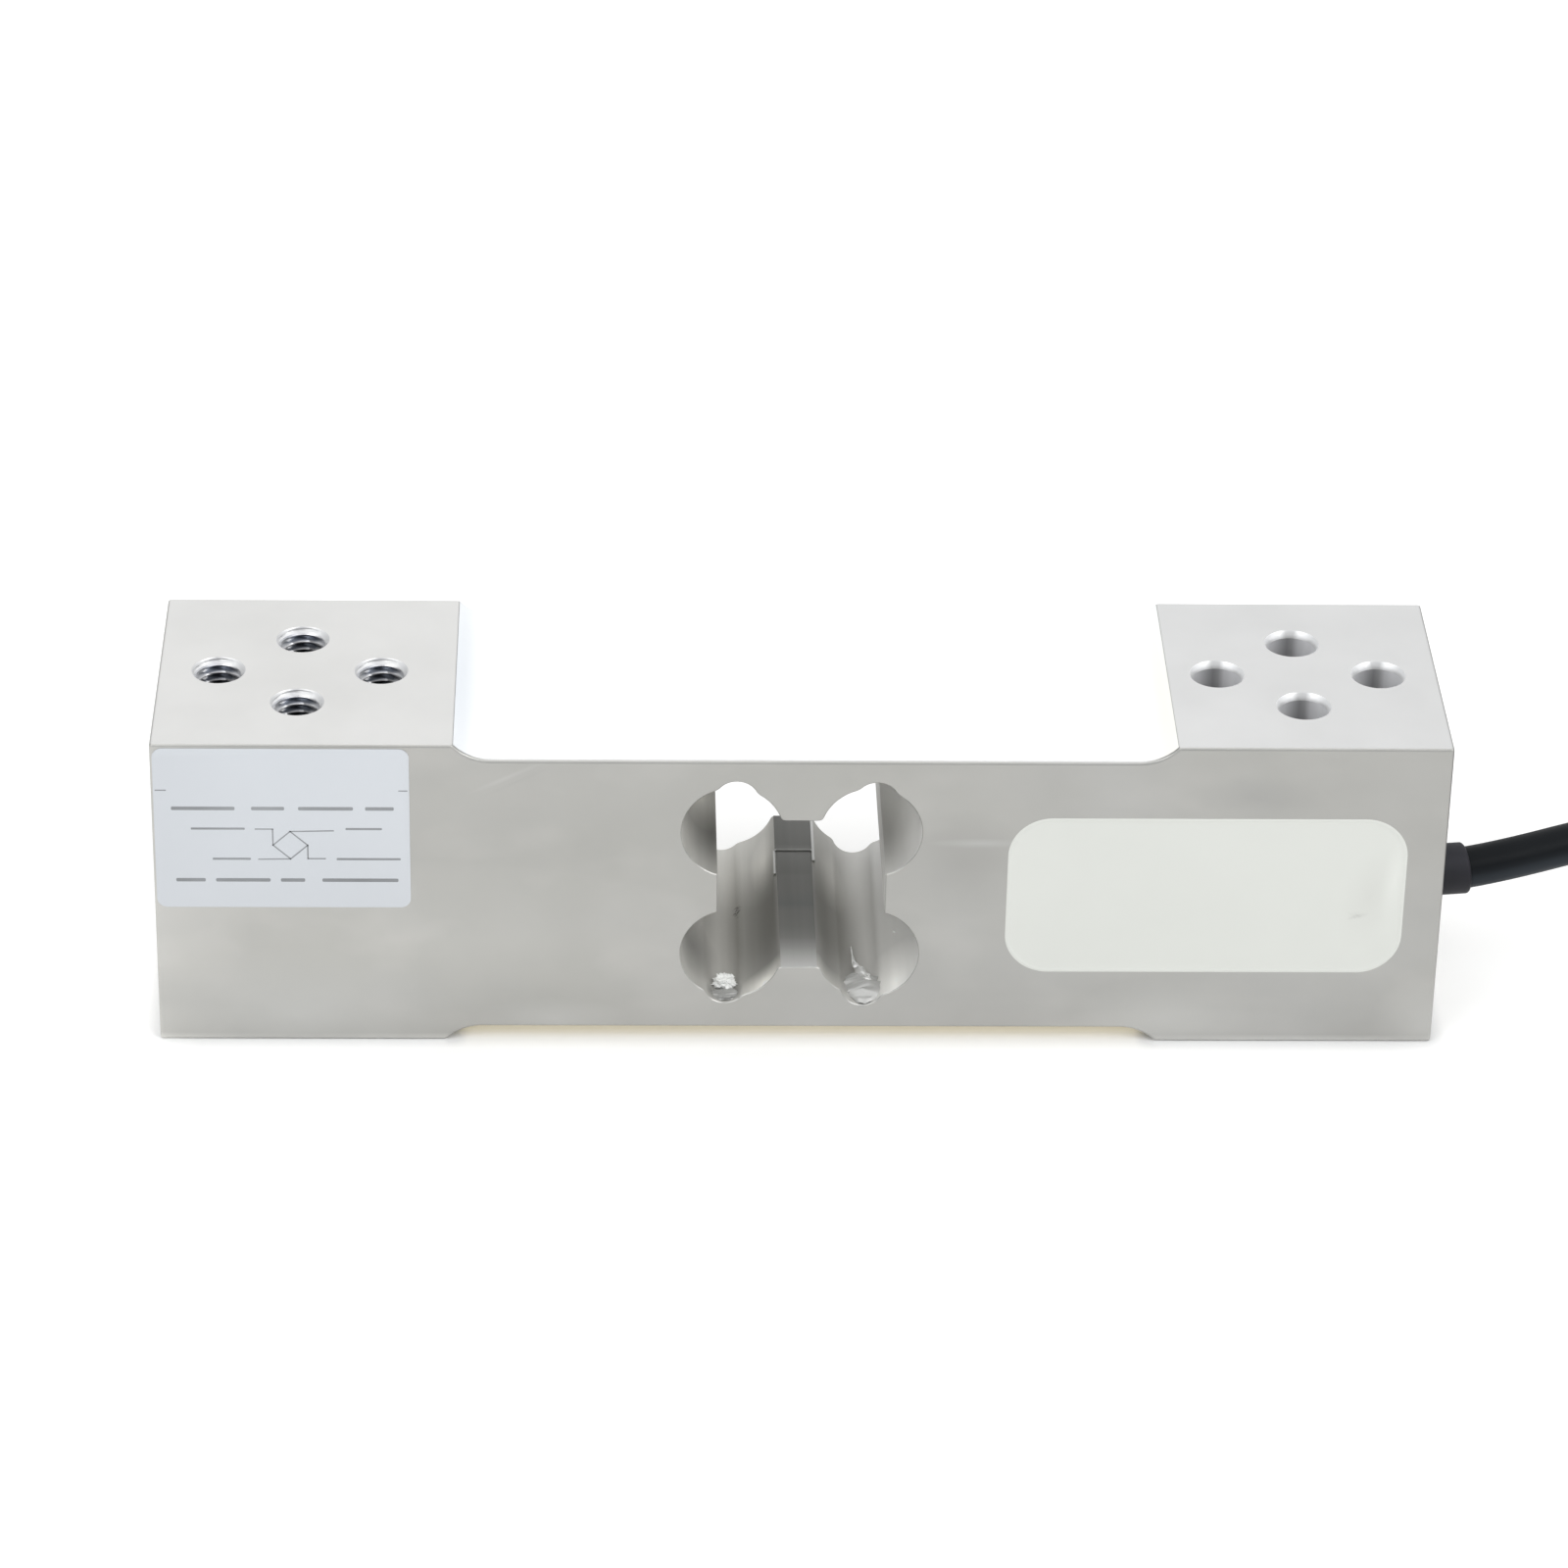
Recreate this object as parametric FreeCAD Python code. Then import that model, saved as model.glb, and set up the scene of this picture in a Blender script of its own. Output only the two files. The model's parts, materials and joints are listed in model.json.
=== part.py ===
import FreeCAD, Part
import math
import os
from FreeCAD import Vector as V

# Single point load cell: an aluminium spring element with a four-lobed cut-out,
# gauges under silicone on its top and underside, a potted side pocket and a cable.
# Millimetres. Origin at the centre of the block's footprint, +Z up, +X towards the
# cable end, -Y towards the pocket and the label.

# ---- spring element
L, W, H = 150.0, 35.0, 40.0
top_a, top_b = 34.7 - 75, 118.2 - 75  # where the end blocks stop, on top
bot_a, bot_b = 33.6 - 75, 117.2 - 75  # and underneath
top_depth, bot_depth = 2.0, 1.85  # how deep the recesses are
recess_r = 6.0  # concave radius between recess floor and end block

lobe_r = 5.9
lobe_x = 8.05
lobe_z_hi, lobe_z_lo = 28.5, 12.05
slot_x0, slot_x1, slot_z0, slot_z1 = -9.7, 9.85, 10.2, 30.1
# thin-section grooves at the far side of each lobe: x, z, radius
grooves = [(-7.6, 32.7, 2.6), (8.6, 32.6, 2.6), (-8.65, 7.8, 2.5), (7.5, 7.5, 2.5)]

# bolt holes: a 19 x 15 diamond at each end
pat_x, pat_dx, pat_dy = 58.5, 9.5, 7.5
tap_r = 2.5  # M6 minor radius
tap_depth, tap_drill = 15.0, 18.0
plain_r = 2.85  # smooth upper part of the cable end's holes
plain_to = 16.0  # the height at which their tapped lower part begins
chamfer_r = 3.25

# side pocket in the front face
pk_x0, pk_x1, pk_z0, pk_z1 = 24.1, 70.4, 9.8, 30.5
pk_r, pk_d = 5.0, 6.0

# cable
cable_d = 5.0
cable_y, cable_z = -11.8, 20.0
bore_r = 3.25
bore_to = 63.0  # how far the bore runs into the pocket's floor
collar_r = 3.05  # the part of the collar that stands out of the end face
jacket_end_x = 64.5

# wiring channels from the recess floors into the pocket
ch_x, ch_y, ch_r = 29.0, -14.0, 1.25

# gauges and covers
g_len, g_wid, g_t = 7.0, 5.0, 0.12
cover_t = 0.8

# hank of the put-away cable: an oblong coil, two columns by three layers
pitch = 5.1
hank_cx, hank_cy = 157.0, 5.1
hank_s = 57.0  # straight part of a turn
hank_ri = 15.0  # end radius of the inner column
hank_ro = hank_ri + pitch
layer_z = [2.5, 2.5 + pitch, 2.5 + 2 * pitch]
hank_h = layer_z[2] + cable_d / 2 + 0.05
tie_front_x, tie_back_x, tie_w, tie_t = 173.0, 152.0, 4.8, 0.7

Z = V(0, 0, 1)
Y = V(0, 1, 0)
X = V(1, 0, 0)
os.makedirs("parts", exist_ok=True)
made = {}


def out(name, shape):
    if isinstance(shape, (list, tuple)):
        shape = Part.makeCompound(list(shape))
    if not shape.isValid():
        print("NOT VALID", name)
    shape.exportStep(f"parts/{name}.step")
    made[name] = shape
    bb = shape.BoundBox
    print(
        f"{name:24s} solids {len(shape.Solids)} volume {shape.Volume:10.2f} "
        f"x {bb.XMin:8.2f} {bb.XMax:8.2f} y {bb.YMin:7.2f} {bb.YMax:7.2f} z {bb.ZMin:7.2f} {bb.ZMax:7.2f}"
    )


def box(x0, x1, y0, y1, z0, z1):
    return Part.makeBox(x1 - x0, y1 - y0, z1 - z0, V(x0, y0, z0))


def cyl(r, p, d, h):
    return Part.makeCylinder(r, h, p, d)


def line(a, b):
    return Part.LineSegment(a, b).toShape()


def arc3(a, m, b):
    return Part.Arc(a, m, b).toShape()


def prism(edges, vec):
    w = Part.Wire(Part.__sortEdges__(edges))
    return Part.Face(w).extrude(vec)


def rounded(x0, x1, z0, z1, r, y0, depth):
    """A rounded rectangle in the X-Z plane, extruded along +Y."""
    k = r * (1 - math.sqrt(0.5))
    P = lambda x, z: V(x, y0, z)
    e = [
        line(P(x0 + r, z0), P(x1 - r, z0)),
        arc3(P(x1 - r, z0), P(x1 - k, z0 + k), P(x1, z0 + r)),
        line(P(x1, z0 + r), P(x1, z1 - r)),
        arc3(P(x1, z1 - r), P(x1 - k, z1 - k), P(x1 - r, z1)),
        line(P(x1 - r, z1), P(x0 + r, z1)),
        arc3(P(x0 + r, z1), P(x0 + k, z1 - k), P(x0, z1 - r)),
        line(P(x0, z1 - r), P(x0, z0 + r)),
        arc3(P(x0, z0 + r), P(x0 + k, z0 + k), P(x0 + r, z0)),
    ]
    return prism(e, V(0, depth, 0))


def recess(a, b, zf, zo, y0, y1):
    """The recess between the end blocks: floor at zf, open face at zo, arcs at both ends."""
    s = 1 if zo > zf else -1
    d = abs(zo - zf)
    run = math.sqrt(recess_r**2 - (recess_r - d) ** 2)
    th = math.acos((recess_r - d) / recess_r) / 2
    P = lambda x, z: V(x, y0, z)
    zc = zf + s * recess_r
    ca, cb = a + run, b - run
    e = [
        line(P(ca, zf), P(cb, zf)),
        arc3(P(cb, zf), P(cb + recess_r * math.sin(th), zc - s * recess_r * math.cos(th)), P(b, zo)),
        line(P(b, zo), P(b, zo + s)),
        line(P(b, zo + s), P(a, zo + s)),
        line(P(a, zo + s), P(a, zo)),
        arc3(P(a, zo), P(ca - recess_r * math.sin(th), zc - s * recess_r * math.cos(th)), P(ca, zf)),
    ]
    return prism(e, V(0, y1 - y0, 0))


def route_wire(pts, share=0.45):
    """Straight runs joined by tangent arcs. Prints each arc's radius."""
    pts = [V(*p) for p in pts]
    edges, radii, here, length = [], [], pts[0], 0.0
    for i in range(1, len(pts) - 1):
        a, p, b = pts[i - 1], pts[i], pts[i + 1]
        u, v = (p - a), (b - p)
        lu, lv = u.Length, v.Length
        u.normalize(), v.normalize()
        turn = math.acos(max(-1, min(1, u.dot(v))))
        t = share * min(lu, lv)
        r = t / math.tan(turn / 2)
        s, e = p - u * t, p + v * t
        n = v - u
        n.normalize()
        c = p + n * (r / math.cos(turn / 2))
        m = c - n * r
        if (s - here).Length > 1e-6:
            edges.append(line(here, s))
        edges.append(arc3(s, m, e))
        here = e
        radii.append(r)
    edges.append(line(here, pts[-1]))
    w = Part.Wire(edges)
    return w, radii, w.Length


def tube(pts, d, label, quiet=False):
    w, radii, length = route_wire(pts)
    a, b = V(*pts[0]), V(*pts[1])
    n = b - a
    n.normalize()
    c = Part.Wire([Part.makeCircle(d / 2, a, n)])
    s = w.makePipeShell([c], True, True)
    want = math.pi * d * d / 4 * length
    print(
        f"{label}: length {length:.1f}, volume {s.Volume:.1f} against {want:.1f}, radii "
        + " ".join(f"{r:.1f}" for r in radii)
    )
    return s


# ---- the spring element
body = box(-L / 2, L / 2, -W / 2, W / 2, 0, H)
body = body.cut(recess(top_a, top_b, H - top_depth, H, -W / 2 - 1, W / 2 + 1))
body = body.cut(recess(bot_a, bot_b, bot_depth, 0, -W / 2 - 1, W / 2 + 1))
cuts = [box(slot_x0, slot_x1, -W / 2 - 1, W / 2 + 1, slot_z0, slot_z1)]
for sx in (-1, 1):
    for z in (lobe_z_hi, lobe_z_lo):
        cuts.append(cyl(lobe_r, V(sx * lobe_x, -W / 2 - 1, z), Y, W + 2))
for x, z, r in grooves:
    cuts.append(cyl(r, V(x, -W / 2 - 1, z), Y, W + 2))
opening = cuts[0].multiFuse(cuts[1:])
body = body.cut(opening)

pocket = rounded(pk_x0, pk_x1, pk_z0, pk_z1, pk_r, -W / 2 - 1, pk_d + 1)
body = body.cut(pocket)
bore = cyl(bore_r, V(bore_to, cable_y, cable_z), X, L / 2 - bore_to + 1)
body = body.cut(bore)
for z0, z1 in ((pk_z1 - 1, H - top_depth + 1), (bot_depth - 1, pk_z0 + 1)):
    body = body.cut(cyl(ch_r, V(ch_x, ch_y, z0), Z, z1 - z0))

holes = [(-pat_dx, 0), (pat_dx, 0), (0, pat_dy), (0, -pat_dy)]
for dx, dy in holes:
    x = -pat_x + dx
    body = body.cut(cyl(tap_r, V(x, dy, H - tap_drill), Z, tap_drill + 1))
    tip = tap_r / math.tan(math.radians(59))
    body = body.cut(Part.makeCone(0, tap_r, tip, V(x, dy, H - tap_drill - tip), Z))
    body = body.cut(Part.makeCone(tap_r, chamfer_r, chamfer_r - tap_r, V(x, dy, H - chamfer_r + tap_r), Z))
    x = pat_x + dx
    body = body.cut(cyl(tap_r, V(x, dy, -1), Z, H))
    body = body.cut(cyl(plain_r, V(x, dy, plain_to), Z, H - plain_to + 1))
    body = body.cut(Part.makeCone(plain_r, chamfer_r, chamfer_r - plain_r, V(x, dy, H - chamfer_r + plain_r), Z))
    body = body.cut(Part.makeCone(chamfer_r, tap_r, chamfer_r - tap_r, V(x, dy, 0), Z))
body = body.removeSplitter()
out("spring_element", body)

# ---- gauges over the four thin sections, and the terminal strips between them
zt, zb = H - top_depth, bot_depth
for name, x, z in (
    ("strain_gauge_top_left", grooves[0][0], zt),
    ("strain_gauge_top_right", grooves[1][0], zt),
    ("strain_gauge_bottom_left", grooves[2][0], zb - g_t),
    ("strain_gauge_bottom_right", grooves[3][0], zb - g_t),
):
    out(name, box(x - g_len / 2, x + g_len / 2, -g_wid / 2, g_wid / 2, z, z + g_t))
strip = (-2.4, 2.4, -7.5, -1.5)
out("terminal_strip_top", box(strip[0], strip[1], strip[2], strip[3], zt, zt + 0.3))
out("terminal_strip_bottom", box(strip[0], strip[1], strip[2], strip[3], zb - 0.3, zb))

# ---- gauge leads: flat three-way runs on the recess floors, down the channels
board_y0, board_y1 = -W / 2 + pk_d - 1.0, -W / 2 + pk_d
top_leads, bot_leads = [], []
lead = 0.35
for i, (y, dx) in enumerate(((-3.0, -0.6), (-4.5, 0.0), (-6.0, 0.6))):
    x1 = ch_x + dx
    for bag, z, s, zp in ((top_leads, zt, 1, 25.0), (bot_leads, zb, -1, 15.0)):
        z0, z1 = sorted((z, z + s * lead))
        flat = box(2.4, x1 + lead / 2, y - lead / 2, y + lead / 2, z0, z1)
        across = box(x1 - lead / 2, x1 + lead / 2, ch_y - lead / 2, y + lead / 2, z0, z1)
        z0, z1 = sorted((z + s * lead, zp))
        down = box(x1 - lead / 2, x1 + lead / 2, ch_y - lead / 2, ch_y + lead / 2, z0, z1)
        z0, z1 = sorted((zp, zp + s * lead))
        in_ = box(x1 - lead / 2, x1 + lead / 2, ch_y - lead / 2, board_y0, z0, z1)
        bag.append(flat.multiFuse([across, down, in_]).removeSplitter())
out("gauge_leads_top", top_leads)
out("gauge_leads_bottom", bot_leads)

# ---- white silicone covers on the recess floors
run_top = math.sqrt(recess_r**2 - (recess_r - top_depth) ** 2)
run_bot = math.sqrt(recess_r**2 - (recess_r - bot_depth) ** 2)
cover = box(top_a + run_top - 0.4, top_b - run_top + 0.4, -W / 2 + 0.5, W / 2 - 0.5, zt, zt + cover_t)
cover = cover.cut(made["spring_element"])
inside = [made["strain_gauge_top_left"], made["strain_gauge_top_right"], made["terminal_strip_top"]] + top_leads
out("gauge_cover_top", cover.cut(inside[0].multiFuse(inside[1:])).removeSplitter())
cover = box(bot_a + run_bot - 0.4, bot_b - run_bot + 0.4, -W / 2 + 0.5, W / 2 - 0.5, zb - cover_t, zb)
cover = cover.cut(made["spring_element"])
inside = [made["strain_gauge_bottom_left"], made["strain_gauge_bottom_right"], made["terminal_strip_bottom"]] + bot_leads
out("gauge_cover_bottom", cover.cut(inside[0].multiFuse(inside[1:])).removeSplitter())

# ---- bridge board on the pocket's floor, with its trimming resistors
board = box(26.5, 50.0, board_y0, board_y1, 13.0, 27.0)
out("bridge_board", board)
res = [box(x, x + 3.2, board_y0 - 0.6, board_y0, z, z + 1.6) for x, z in ((35.0, 23.0), (35.0, 15.4), (41.0, 19.2))]
out("trim_resistors", res)

# ---- collar and cable
top_z = hank_h + cable_d / 2
y_o = hank_cy - hank_ro  # the outer column's front run
route = [
    (jacket_end_x, cable_y, cable_z),
    (74.8, cable_y, cable_z),
    (83.0, -10.3, 20.75),
    (96.5, -6.6, 22.6),
    (110.0, -6.9, 22.4),
    (128.0, y_o + 2.2, 19.6),
    (147.0, y_o, top_z - 0.15),
    (168.0, y_o + 0.3, top_z - 0.1),
    (186.0, y_o + 0.2, top_z - 0.3),
    (199.0, -9.0, 15.3),
    (205.0, 0.5, 12.2),
]
cable = tube(route, cable_d, "cable")


def stadium(r, z0, h):
    x0, x1, y = hank_cx - hank_s / 2, hank_cx + hank_s / 2, hank_cy
    P = lambda x, yy: V(x, yy, z0)
    e = [
        line(P(x0, y - r), P(x1, y - r)),
        arc3(P(x1, y - r), P(x1 + r, y), P(x1, y + r)),
        line(P(x1, y + r), P(x0, y + r)),
        arc3(P(x0, y + r), P(x0 - r, y), P(x0, y - r)),
    ]
    return prism(e, V(0, 0, h))


def loop(x, outer, inner):
    """A flat strap round a bundle, its outline given in the Y-Z plane."""
    w, solids = tie_w / 2, []
    for pts in (outer, inner):
        p = [V(x - w, y, z) for y, z in pts]
        solids.append(prism([line(a, b) for a, b in zip(p, p[1:] + p[:1])], V(2 * w, 0, 0)))
    return solids[0].cut(solids[1])


block = stadium(hank_ro + cable_d / 2, 0, hank_h)
hole = stadium(hank_ri - cable_d / 2, -1, hank_h + 2)
hank = block.cut(hole)

# one tie round the front run, with the strand that lies on it, and one round the back run
a0, a1 = hank_cy - hank_ro - cable_d / 2, hank_cy - hank_ri + cable_d / 2
t, zt1 = tie_t, top_z + cable_d / 2
front_tie = loop(
    tie_front_x,
    [(a0 - t, 0), (a0 - t, zt1 + t), (a0 + 5.5, zt1 + t), (a1 + t, hank_h + t), (a1 + t, 0)],
    [(a0, t), (a0, zt1), (a0 + 5.2, zt1), (a1, hank_h + 0.1), (a1, t)],
)
head = box(tie_front_x - 3.4, tie_front_x + 3.4, a0 + 0.2, a0 + 4.4, zt1 + t, zt1 + t + 3.2)
front_tie = front_tie.fuse(head).removeSplitter()
b0, b1 = hank_cy + hank_ri - cable_d / 2, hank_cy + hank_ro + cable_d / 2
back_tie = loop(
    tie_back_x,
    [(b0 - t, 0), (b0 - t, hank_h + t), (b1 + t, hank_h + t), (b1 + t, 0)],
    [(b0, t), (b0, hank_h), (b1, hank_h), (b1, t)],
)
head = box(tie_back_x - 3.4, tie_back_x + 3.4, b1 - 4.6, b1 - 0.4, hank_h + t, hank_h + t + 3.2)
back_tie = back_tie.fuse(head).removeSplitter()

cable = cable.cut(block)
cable = max(cable.Solids, key=lambda s: s.Volume)
front_tie = front_tie.cut(cable)
hank = hank.cut(front_tie.fuse(back_tie))
line0, arc0 = route_wire(route)[0].Edges[:2]  # the straight start and the first bend
bend = arc0.Vertexes[0].Point if abs(arc0.Vertexes[0].Z - cable_z) < 1e-6 else arc0.Vertexes[1].Point
guide = Part.Wire([line(V(pk_x1, cable_y, cable_z), bend), arc0])
ring = Part.Wire([Part.makeCircle(collar_r, V(pk_x1, cable_y, cable_z), X)])
collar = guide.makePipeShell([ring], True, True)
collar = collar.cut(cable)
out("cable_collar", collar)
out("cable", cable)

# the cable's last stretch, inside the hank's loop, and what its jacket ends in
tail = tube(
    [(133.0, -9.6, 2.55), (144.0, -8.1, 2.55), (155.0, -4.8, 2.55), (165.0, -3.2, 2.55)],
    cable_d,
    "cable_tail",
)
tail = max(tail.cut(hank).Solids, key=lambda s: s.BoundBox.XMax)
out("cable_hank", hank)
out("cable_tail", tail)
out("hank_ties", [front_tie, back_tie])

ends = {
    "far_lead_red": (1.1, 1.0, [(172.0, -0.6, 0.95), (180.0, 1.2, 0.62), (188.0, 4.9, 0.6)]),
    "far_lead_black": (1.1, 0.0, [(172.5, -2.2, 0.9), (181.0, -2.6, 0.62), (190.0, -1.6, 0.6)]),
    "far_lead_green": (1.1, -1.0, [(172.0, -4.1, 0.95), (179.0, -5.2, 0.62), (186.5, -4.9, 0.6)]),
    "far_lead_white": (1.1, 0.45, [(171.5, 0.6, 1.8), (176.0, 4.4, 0.72), (181.0, 9.6, 0.68)]),
    "shield_drain": (0.8, -0.45, [(171.0, -3.3, 1.9), (175.0, -0.4, 2.2), (181.0, 6.0, 0.45)]),
}
# the jacket's end face: where each conductor leaves it, and its way down to the floor
u = V(10.0, 1.7, 0)
u.normalize()
n = V(-u.y, u.x, 0)
starts = {
    "far_lead_red": (0.85, -0.5),
    "far_lead_black": (-0.2, -1.1),
    "far_lead_green": (-1.2, -0.4),
    "far_lead_white": (0.75, 0.85),
    "shield_drain": (-0.7, 0.95),
}
for name, (d, _, pts) in ends.items():
    s0, s1 = starts[name]
    p0 = V(165.0, -3.2, 2.55) + n * s0 + Z * s1 + u * 0.06
    p1 = p0 + u * 3.2
    lead_solid = tube([tuple(p0), tuple(p1)] + pts, d, name)
    out(name, lead_solid)

# ---- conductors from the jacket's end to the board
inner = []
for (y, z), zi in zip(((-12.3, 21.5), (-13.3, 20.6), (-13.3, 19.4), (-12.3, 18.5)), (25.0, 21.6, 18.2, 14.8)):
    pts = [(jacket_end_x, y, z), (jacket_end_x - 4.0, y, z), (55.0, -12.0, zi), (50.0, -12.0, zi)]
    inner.append(tube(pts, 1.0, "pocket_conductors"))
out("pocket_conductors", inner)

# ---- potting, flush with the front face, round everything in the pocket
pot = rounded(pk_x0, pk_x1, pk_z0, pk_z1, pk_r, -W / 2, pk_d)
pot = pot.fuse(cyl(bore_r, V(bore_to, cable_y, cable_z), X, pk_x1 - bore_to))
held = [cable] + [board] + res + inner + top_leads + bot_leads
pot = pot.cut(held[0].multiFuse(held[1:])).removeSplitter()
out("pocket_potting", pot)

# ---- label on the front face
out("rating_label", rounded(-74.7, -45.3, 18.3, 39.5, 1.2, -W / 2 - 0.1, 0.1))
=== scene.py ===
import json
import math

import bmesh
import bpy
import numpy as np
from mathutils import Matrix, Vector, noise

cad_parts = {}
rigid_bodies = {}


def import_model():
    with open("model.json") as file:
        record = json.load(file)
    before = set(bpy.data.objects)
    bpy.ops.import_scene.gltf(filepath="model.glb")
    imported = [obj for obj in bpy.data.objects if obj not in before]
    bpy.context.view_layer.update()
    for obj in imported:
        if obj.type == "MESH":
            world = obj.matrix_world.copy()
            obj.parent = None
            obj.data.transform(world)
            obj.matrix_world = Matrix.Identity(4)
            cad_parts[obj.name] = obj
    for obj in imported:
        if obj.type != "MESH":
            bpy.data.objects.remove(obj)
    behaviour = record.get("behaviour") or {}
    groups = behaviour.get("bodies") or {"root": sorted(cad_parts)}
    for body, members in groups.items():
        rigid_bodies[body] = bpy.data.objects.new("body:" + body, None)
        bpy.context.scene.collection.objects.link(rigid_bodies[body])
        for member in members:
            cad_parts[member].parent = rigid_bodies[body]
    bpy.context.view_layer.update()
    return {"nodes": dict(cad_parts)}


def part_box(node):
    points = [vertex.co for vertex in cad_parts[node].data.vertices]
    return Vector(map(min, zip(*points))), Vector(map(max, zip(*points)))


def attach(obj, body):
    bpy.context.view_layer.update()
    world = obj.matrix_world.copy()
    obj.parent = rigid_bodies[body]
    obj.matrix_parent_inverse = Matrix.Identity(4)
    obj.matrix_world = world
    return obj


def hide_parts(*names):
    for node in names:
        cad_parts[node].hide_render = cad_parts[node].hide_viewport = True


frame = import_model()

MM = 0.001
scene = bpy.context.scene
for n in ("Cube", "Light", "Camera"):
    if n in bpy.data.objects and n not in frame["nodes"]:
        bpy.data.objects.remove(bpy.data.objects[n])
node = frame["nodes"]
body_lo, body_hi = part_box("spring_element")

# ------------------------------------------------------------------ camera
cam = bpy.data.cameras.new("camera")
cam_obj = bpy.data.objects.new("camera", cam)
scene.collection.objects.link(cam_obj)
cam.sensor_width = 36.0
cam.lens = 137.554
cam.clip_start, cam.clip_end = 0.05, 20.0
right = Vector((0.99957159, -0.02331432, 0.01769387))
up = Vector((-0.00352306, 0.50430227, 0.86352001))
back = Vector((-0.02905544, -0.86321241, 0.50400408))
m = Matrix((right, up, back)).transposed().to_4x4()
m.translation = Vector((-22.2358, -612.7762, 382.6258)) * MM
cam_obj.matrix_world = m
scene.camera = cam_obj
scene.view_settings.view_transform = "Standard"
scene.view_settings.look = "None"


# ------------------------------------------------------------------ helpers
def link(name, mesh, mat=None, body="root"):
    o = bpy.data.objects.new(name, mesh)
    scene.collection.objects.link(o)
    if mat is not None:
        mesh.materials.append(mat)
    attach(o, body)
    return o


def mesh_of(name, verts, faces):
    me = bpy.data.meshes.new(name)
    me.from_pydata([tuple(Vector(v) * MM) for v in verts], [], faces)
    me.update()
    return me


def smooth(me, angle=35.0):
    me.shade_smooth()
    me.set_sharp_from_angle(angle=math.radians(angle))


def step(t):
    t = min(1.0, max(0.0, t))
    return t * t * (3 - 2 * t)


def principled(name):
    mat = bpy.data.materials.new(name)
    mat.use_nodes = True
    nt = mat.node_tree
    return mat, nt, nt.nodes["Principled BSDF"]


def add(nt, kind, **inputs):
    n = nt.nodes.new(kind)
    for k, v in inputs.items():
        n.inputs[k.replace("_", " ")].default_value = v
    return n


def coords(nt, scale=(1, 1, 1), rot=(0, 0, 0)):
    tc = nt.nodes.new("ShaderNodeTexCoord")
    mp = nt.nodes.new("ShaderNodeMapping")
    mp.inputs["Scale"].default_value = scale
    mp.inputs["Rotation"].default_value = rot
    nt.links.new(tc.outputs["Object"], mp.inputs["Vector"])
    return mp.outputs["Vector"]


def noise_node(nt, vec, scale, detail=2.0, rough=0.5):
    n = nt.nodes.new("ShaderNodeTexNoise")
    n.inputs["Scale"].default_value = scale
    n.inputs["Detail"].default_value = detail
    n.inputs["Roughness"].default_value = rough
    nt.links.new(vec, n.inputs["Vector"])
    return n.outputs["Fac"]


def ramp(nt, fac, stops):
    r = nt.nodes.new("ShaderNodeValToRGB")
    cr = r.color_ramp
    while len(cr.elements) < len(stops):
        cr.elements.new(0.5)
    for e, (p, c) in zip(cr.elements, stops):
        e.position = p
        e.color = (*c, 1.0) if len(c) == 3 else c
    nt.links.new(fac, r.inputs["Fac"])
    return r.outputs["Color"]


def span(nt, fac, lo, hi, a=0.3, b=0.7):
    r = nt.nodes.new("ShaderNodeMapRange")
    r.inputs["From Min"].default_value = a
    r.inputs["From Max"].default_value = b
    r.inputs["To Min"].default_value = lo
    r.inputs["To Max"].default_value = hi
    nt.links.new(fac, r.inputs["Value"])
    return r.outputs["Result"]


def bump(nt, bsdf, height, strength, distance, normal=None):
    b = nt.nodes.new("ShaderNodeBump")
    b.inputs["Strength"].default_value = strength
    b.inputs["Distance"].default_value = distance
    nt.links.new(height, b.inputs["Height"])
    if normal is not None:
        nt.links.new(normal, b.inputs["Normal"])
    nt.links.new(b.outputs["Normal"], bsdf.inputs["Normal"])
    return b.outputs["Normal"]


def mixc(nt, fac, a, b, mode="MIX"):
    n = nt.nodes.new("ShaderNodeMix")
    n.data_type = "RGBA"
    n.blend_type = mode
    for sock, v in ((n.inputs["Factor"], fac), (n.inputs["A"], a), (n.inputs["B"], b)):
        if isinstance(v, bpy.types.NodeSocket):
            nt.links.new(v, sock)
        elif isinstance(v, (int, float)):
            sock.default_value = v
        else:
            sock.default_value = (*v, 1.0)
    return n.outputs["Result"]


def math_node(nt, op, a, b=None):
    n = nt.nodes.new("ShaderNodeMath")
    n.operation = op
    for sock, v in zip(n.inputs, (a, b)):
        if v is None:
            continue
        if isinstance(v, bpy.types.NodeSocket):
            nt.links.new(v, sock)
        else:
            sock.default_value = v
    return n.outputs[0]


# ------------------------------------------------------------------ materials
def plain_material(name, color, rough, spread=0.06, grain=900.0, grain_mm=0.01, spec=0.5, metallic=0.0, sheen=0.0, tint=None):
    """A surface with slow colour variation, uneven gloss and a fine grain."""
    mat, nt, b = principled(name)
    v = coords(nt)
    slow = noise_node(nt, v, 70.0, 3.0)
    lo = tuple(c * (1 - spread) for c in color)
    hi = tuple(min(1.0, c * (1 + spread)) for c in (tint or color))
    nt.links.new(ramp(nt, slow, [(0.3, lo), (0.7, hi)]), b.inputs["Base Color"])
    nt.links.new(span(nt, noise_node(nt, v, 240.0, 3.0), rough - 0.05, rough + 0.06), b.inputs["Roughness"])
    bump(nt, b, noise_node(nt, v, grain, 4.0, 0.6), 0.35, grain_mm * MM)
    b.inputs["Metallic"].default_value = metallic
    b.inputs["Specular IOR Level"].default_value = spec
    if sheen:
        b.inputs["Sheen Weight"].default_value = sheen
    return mat


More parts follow.
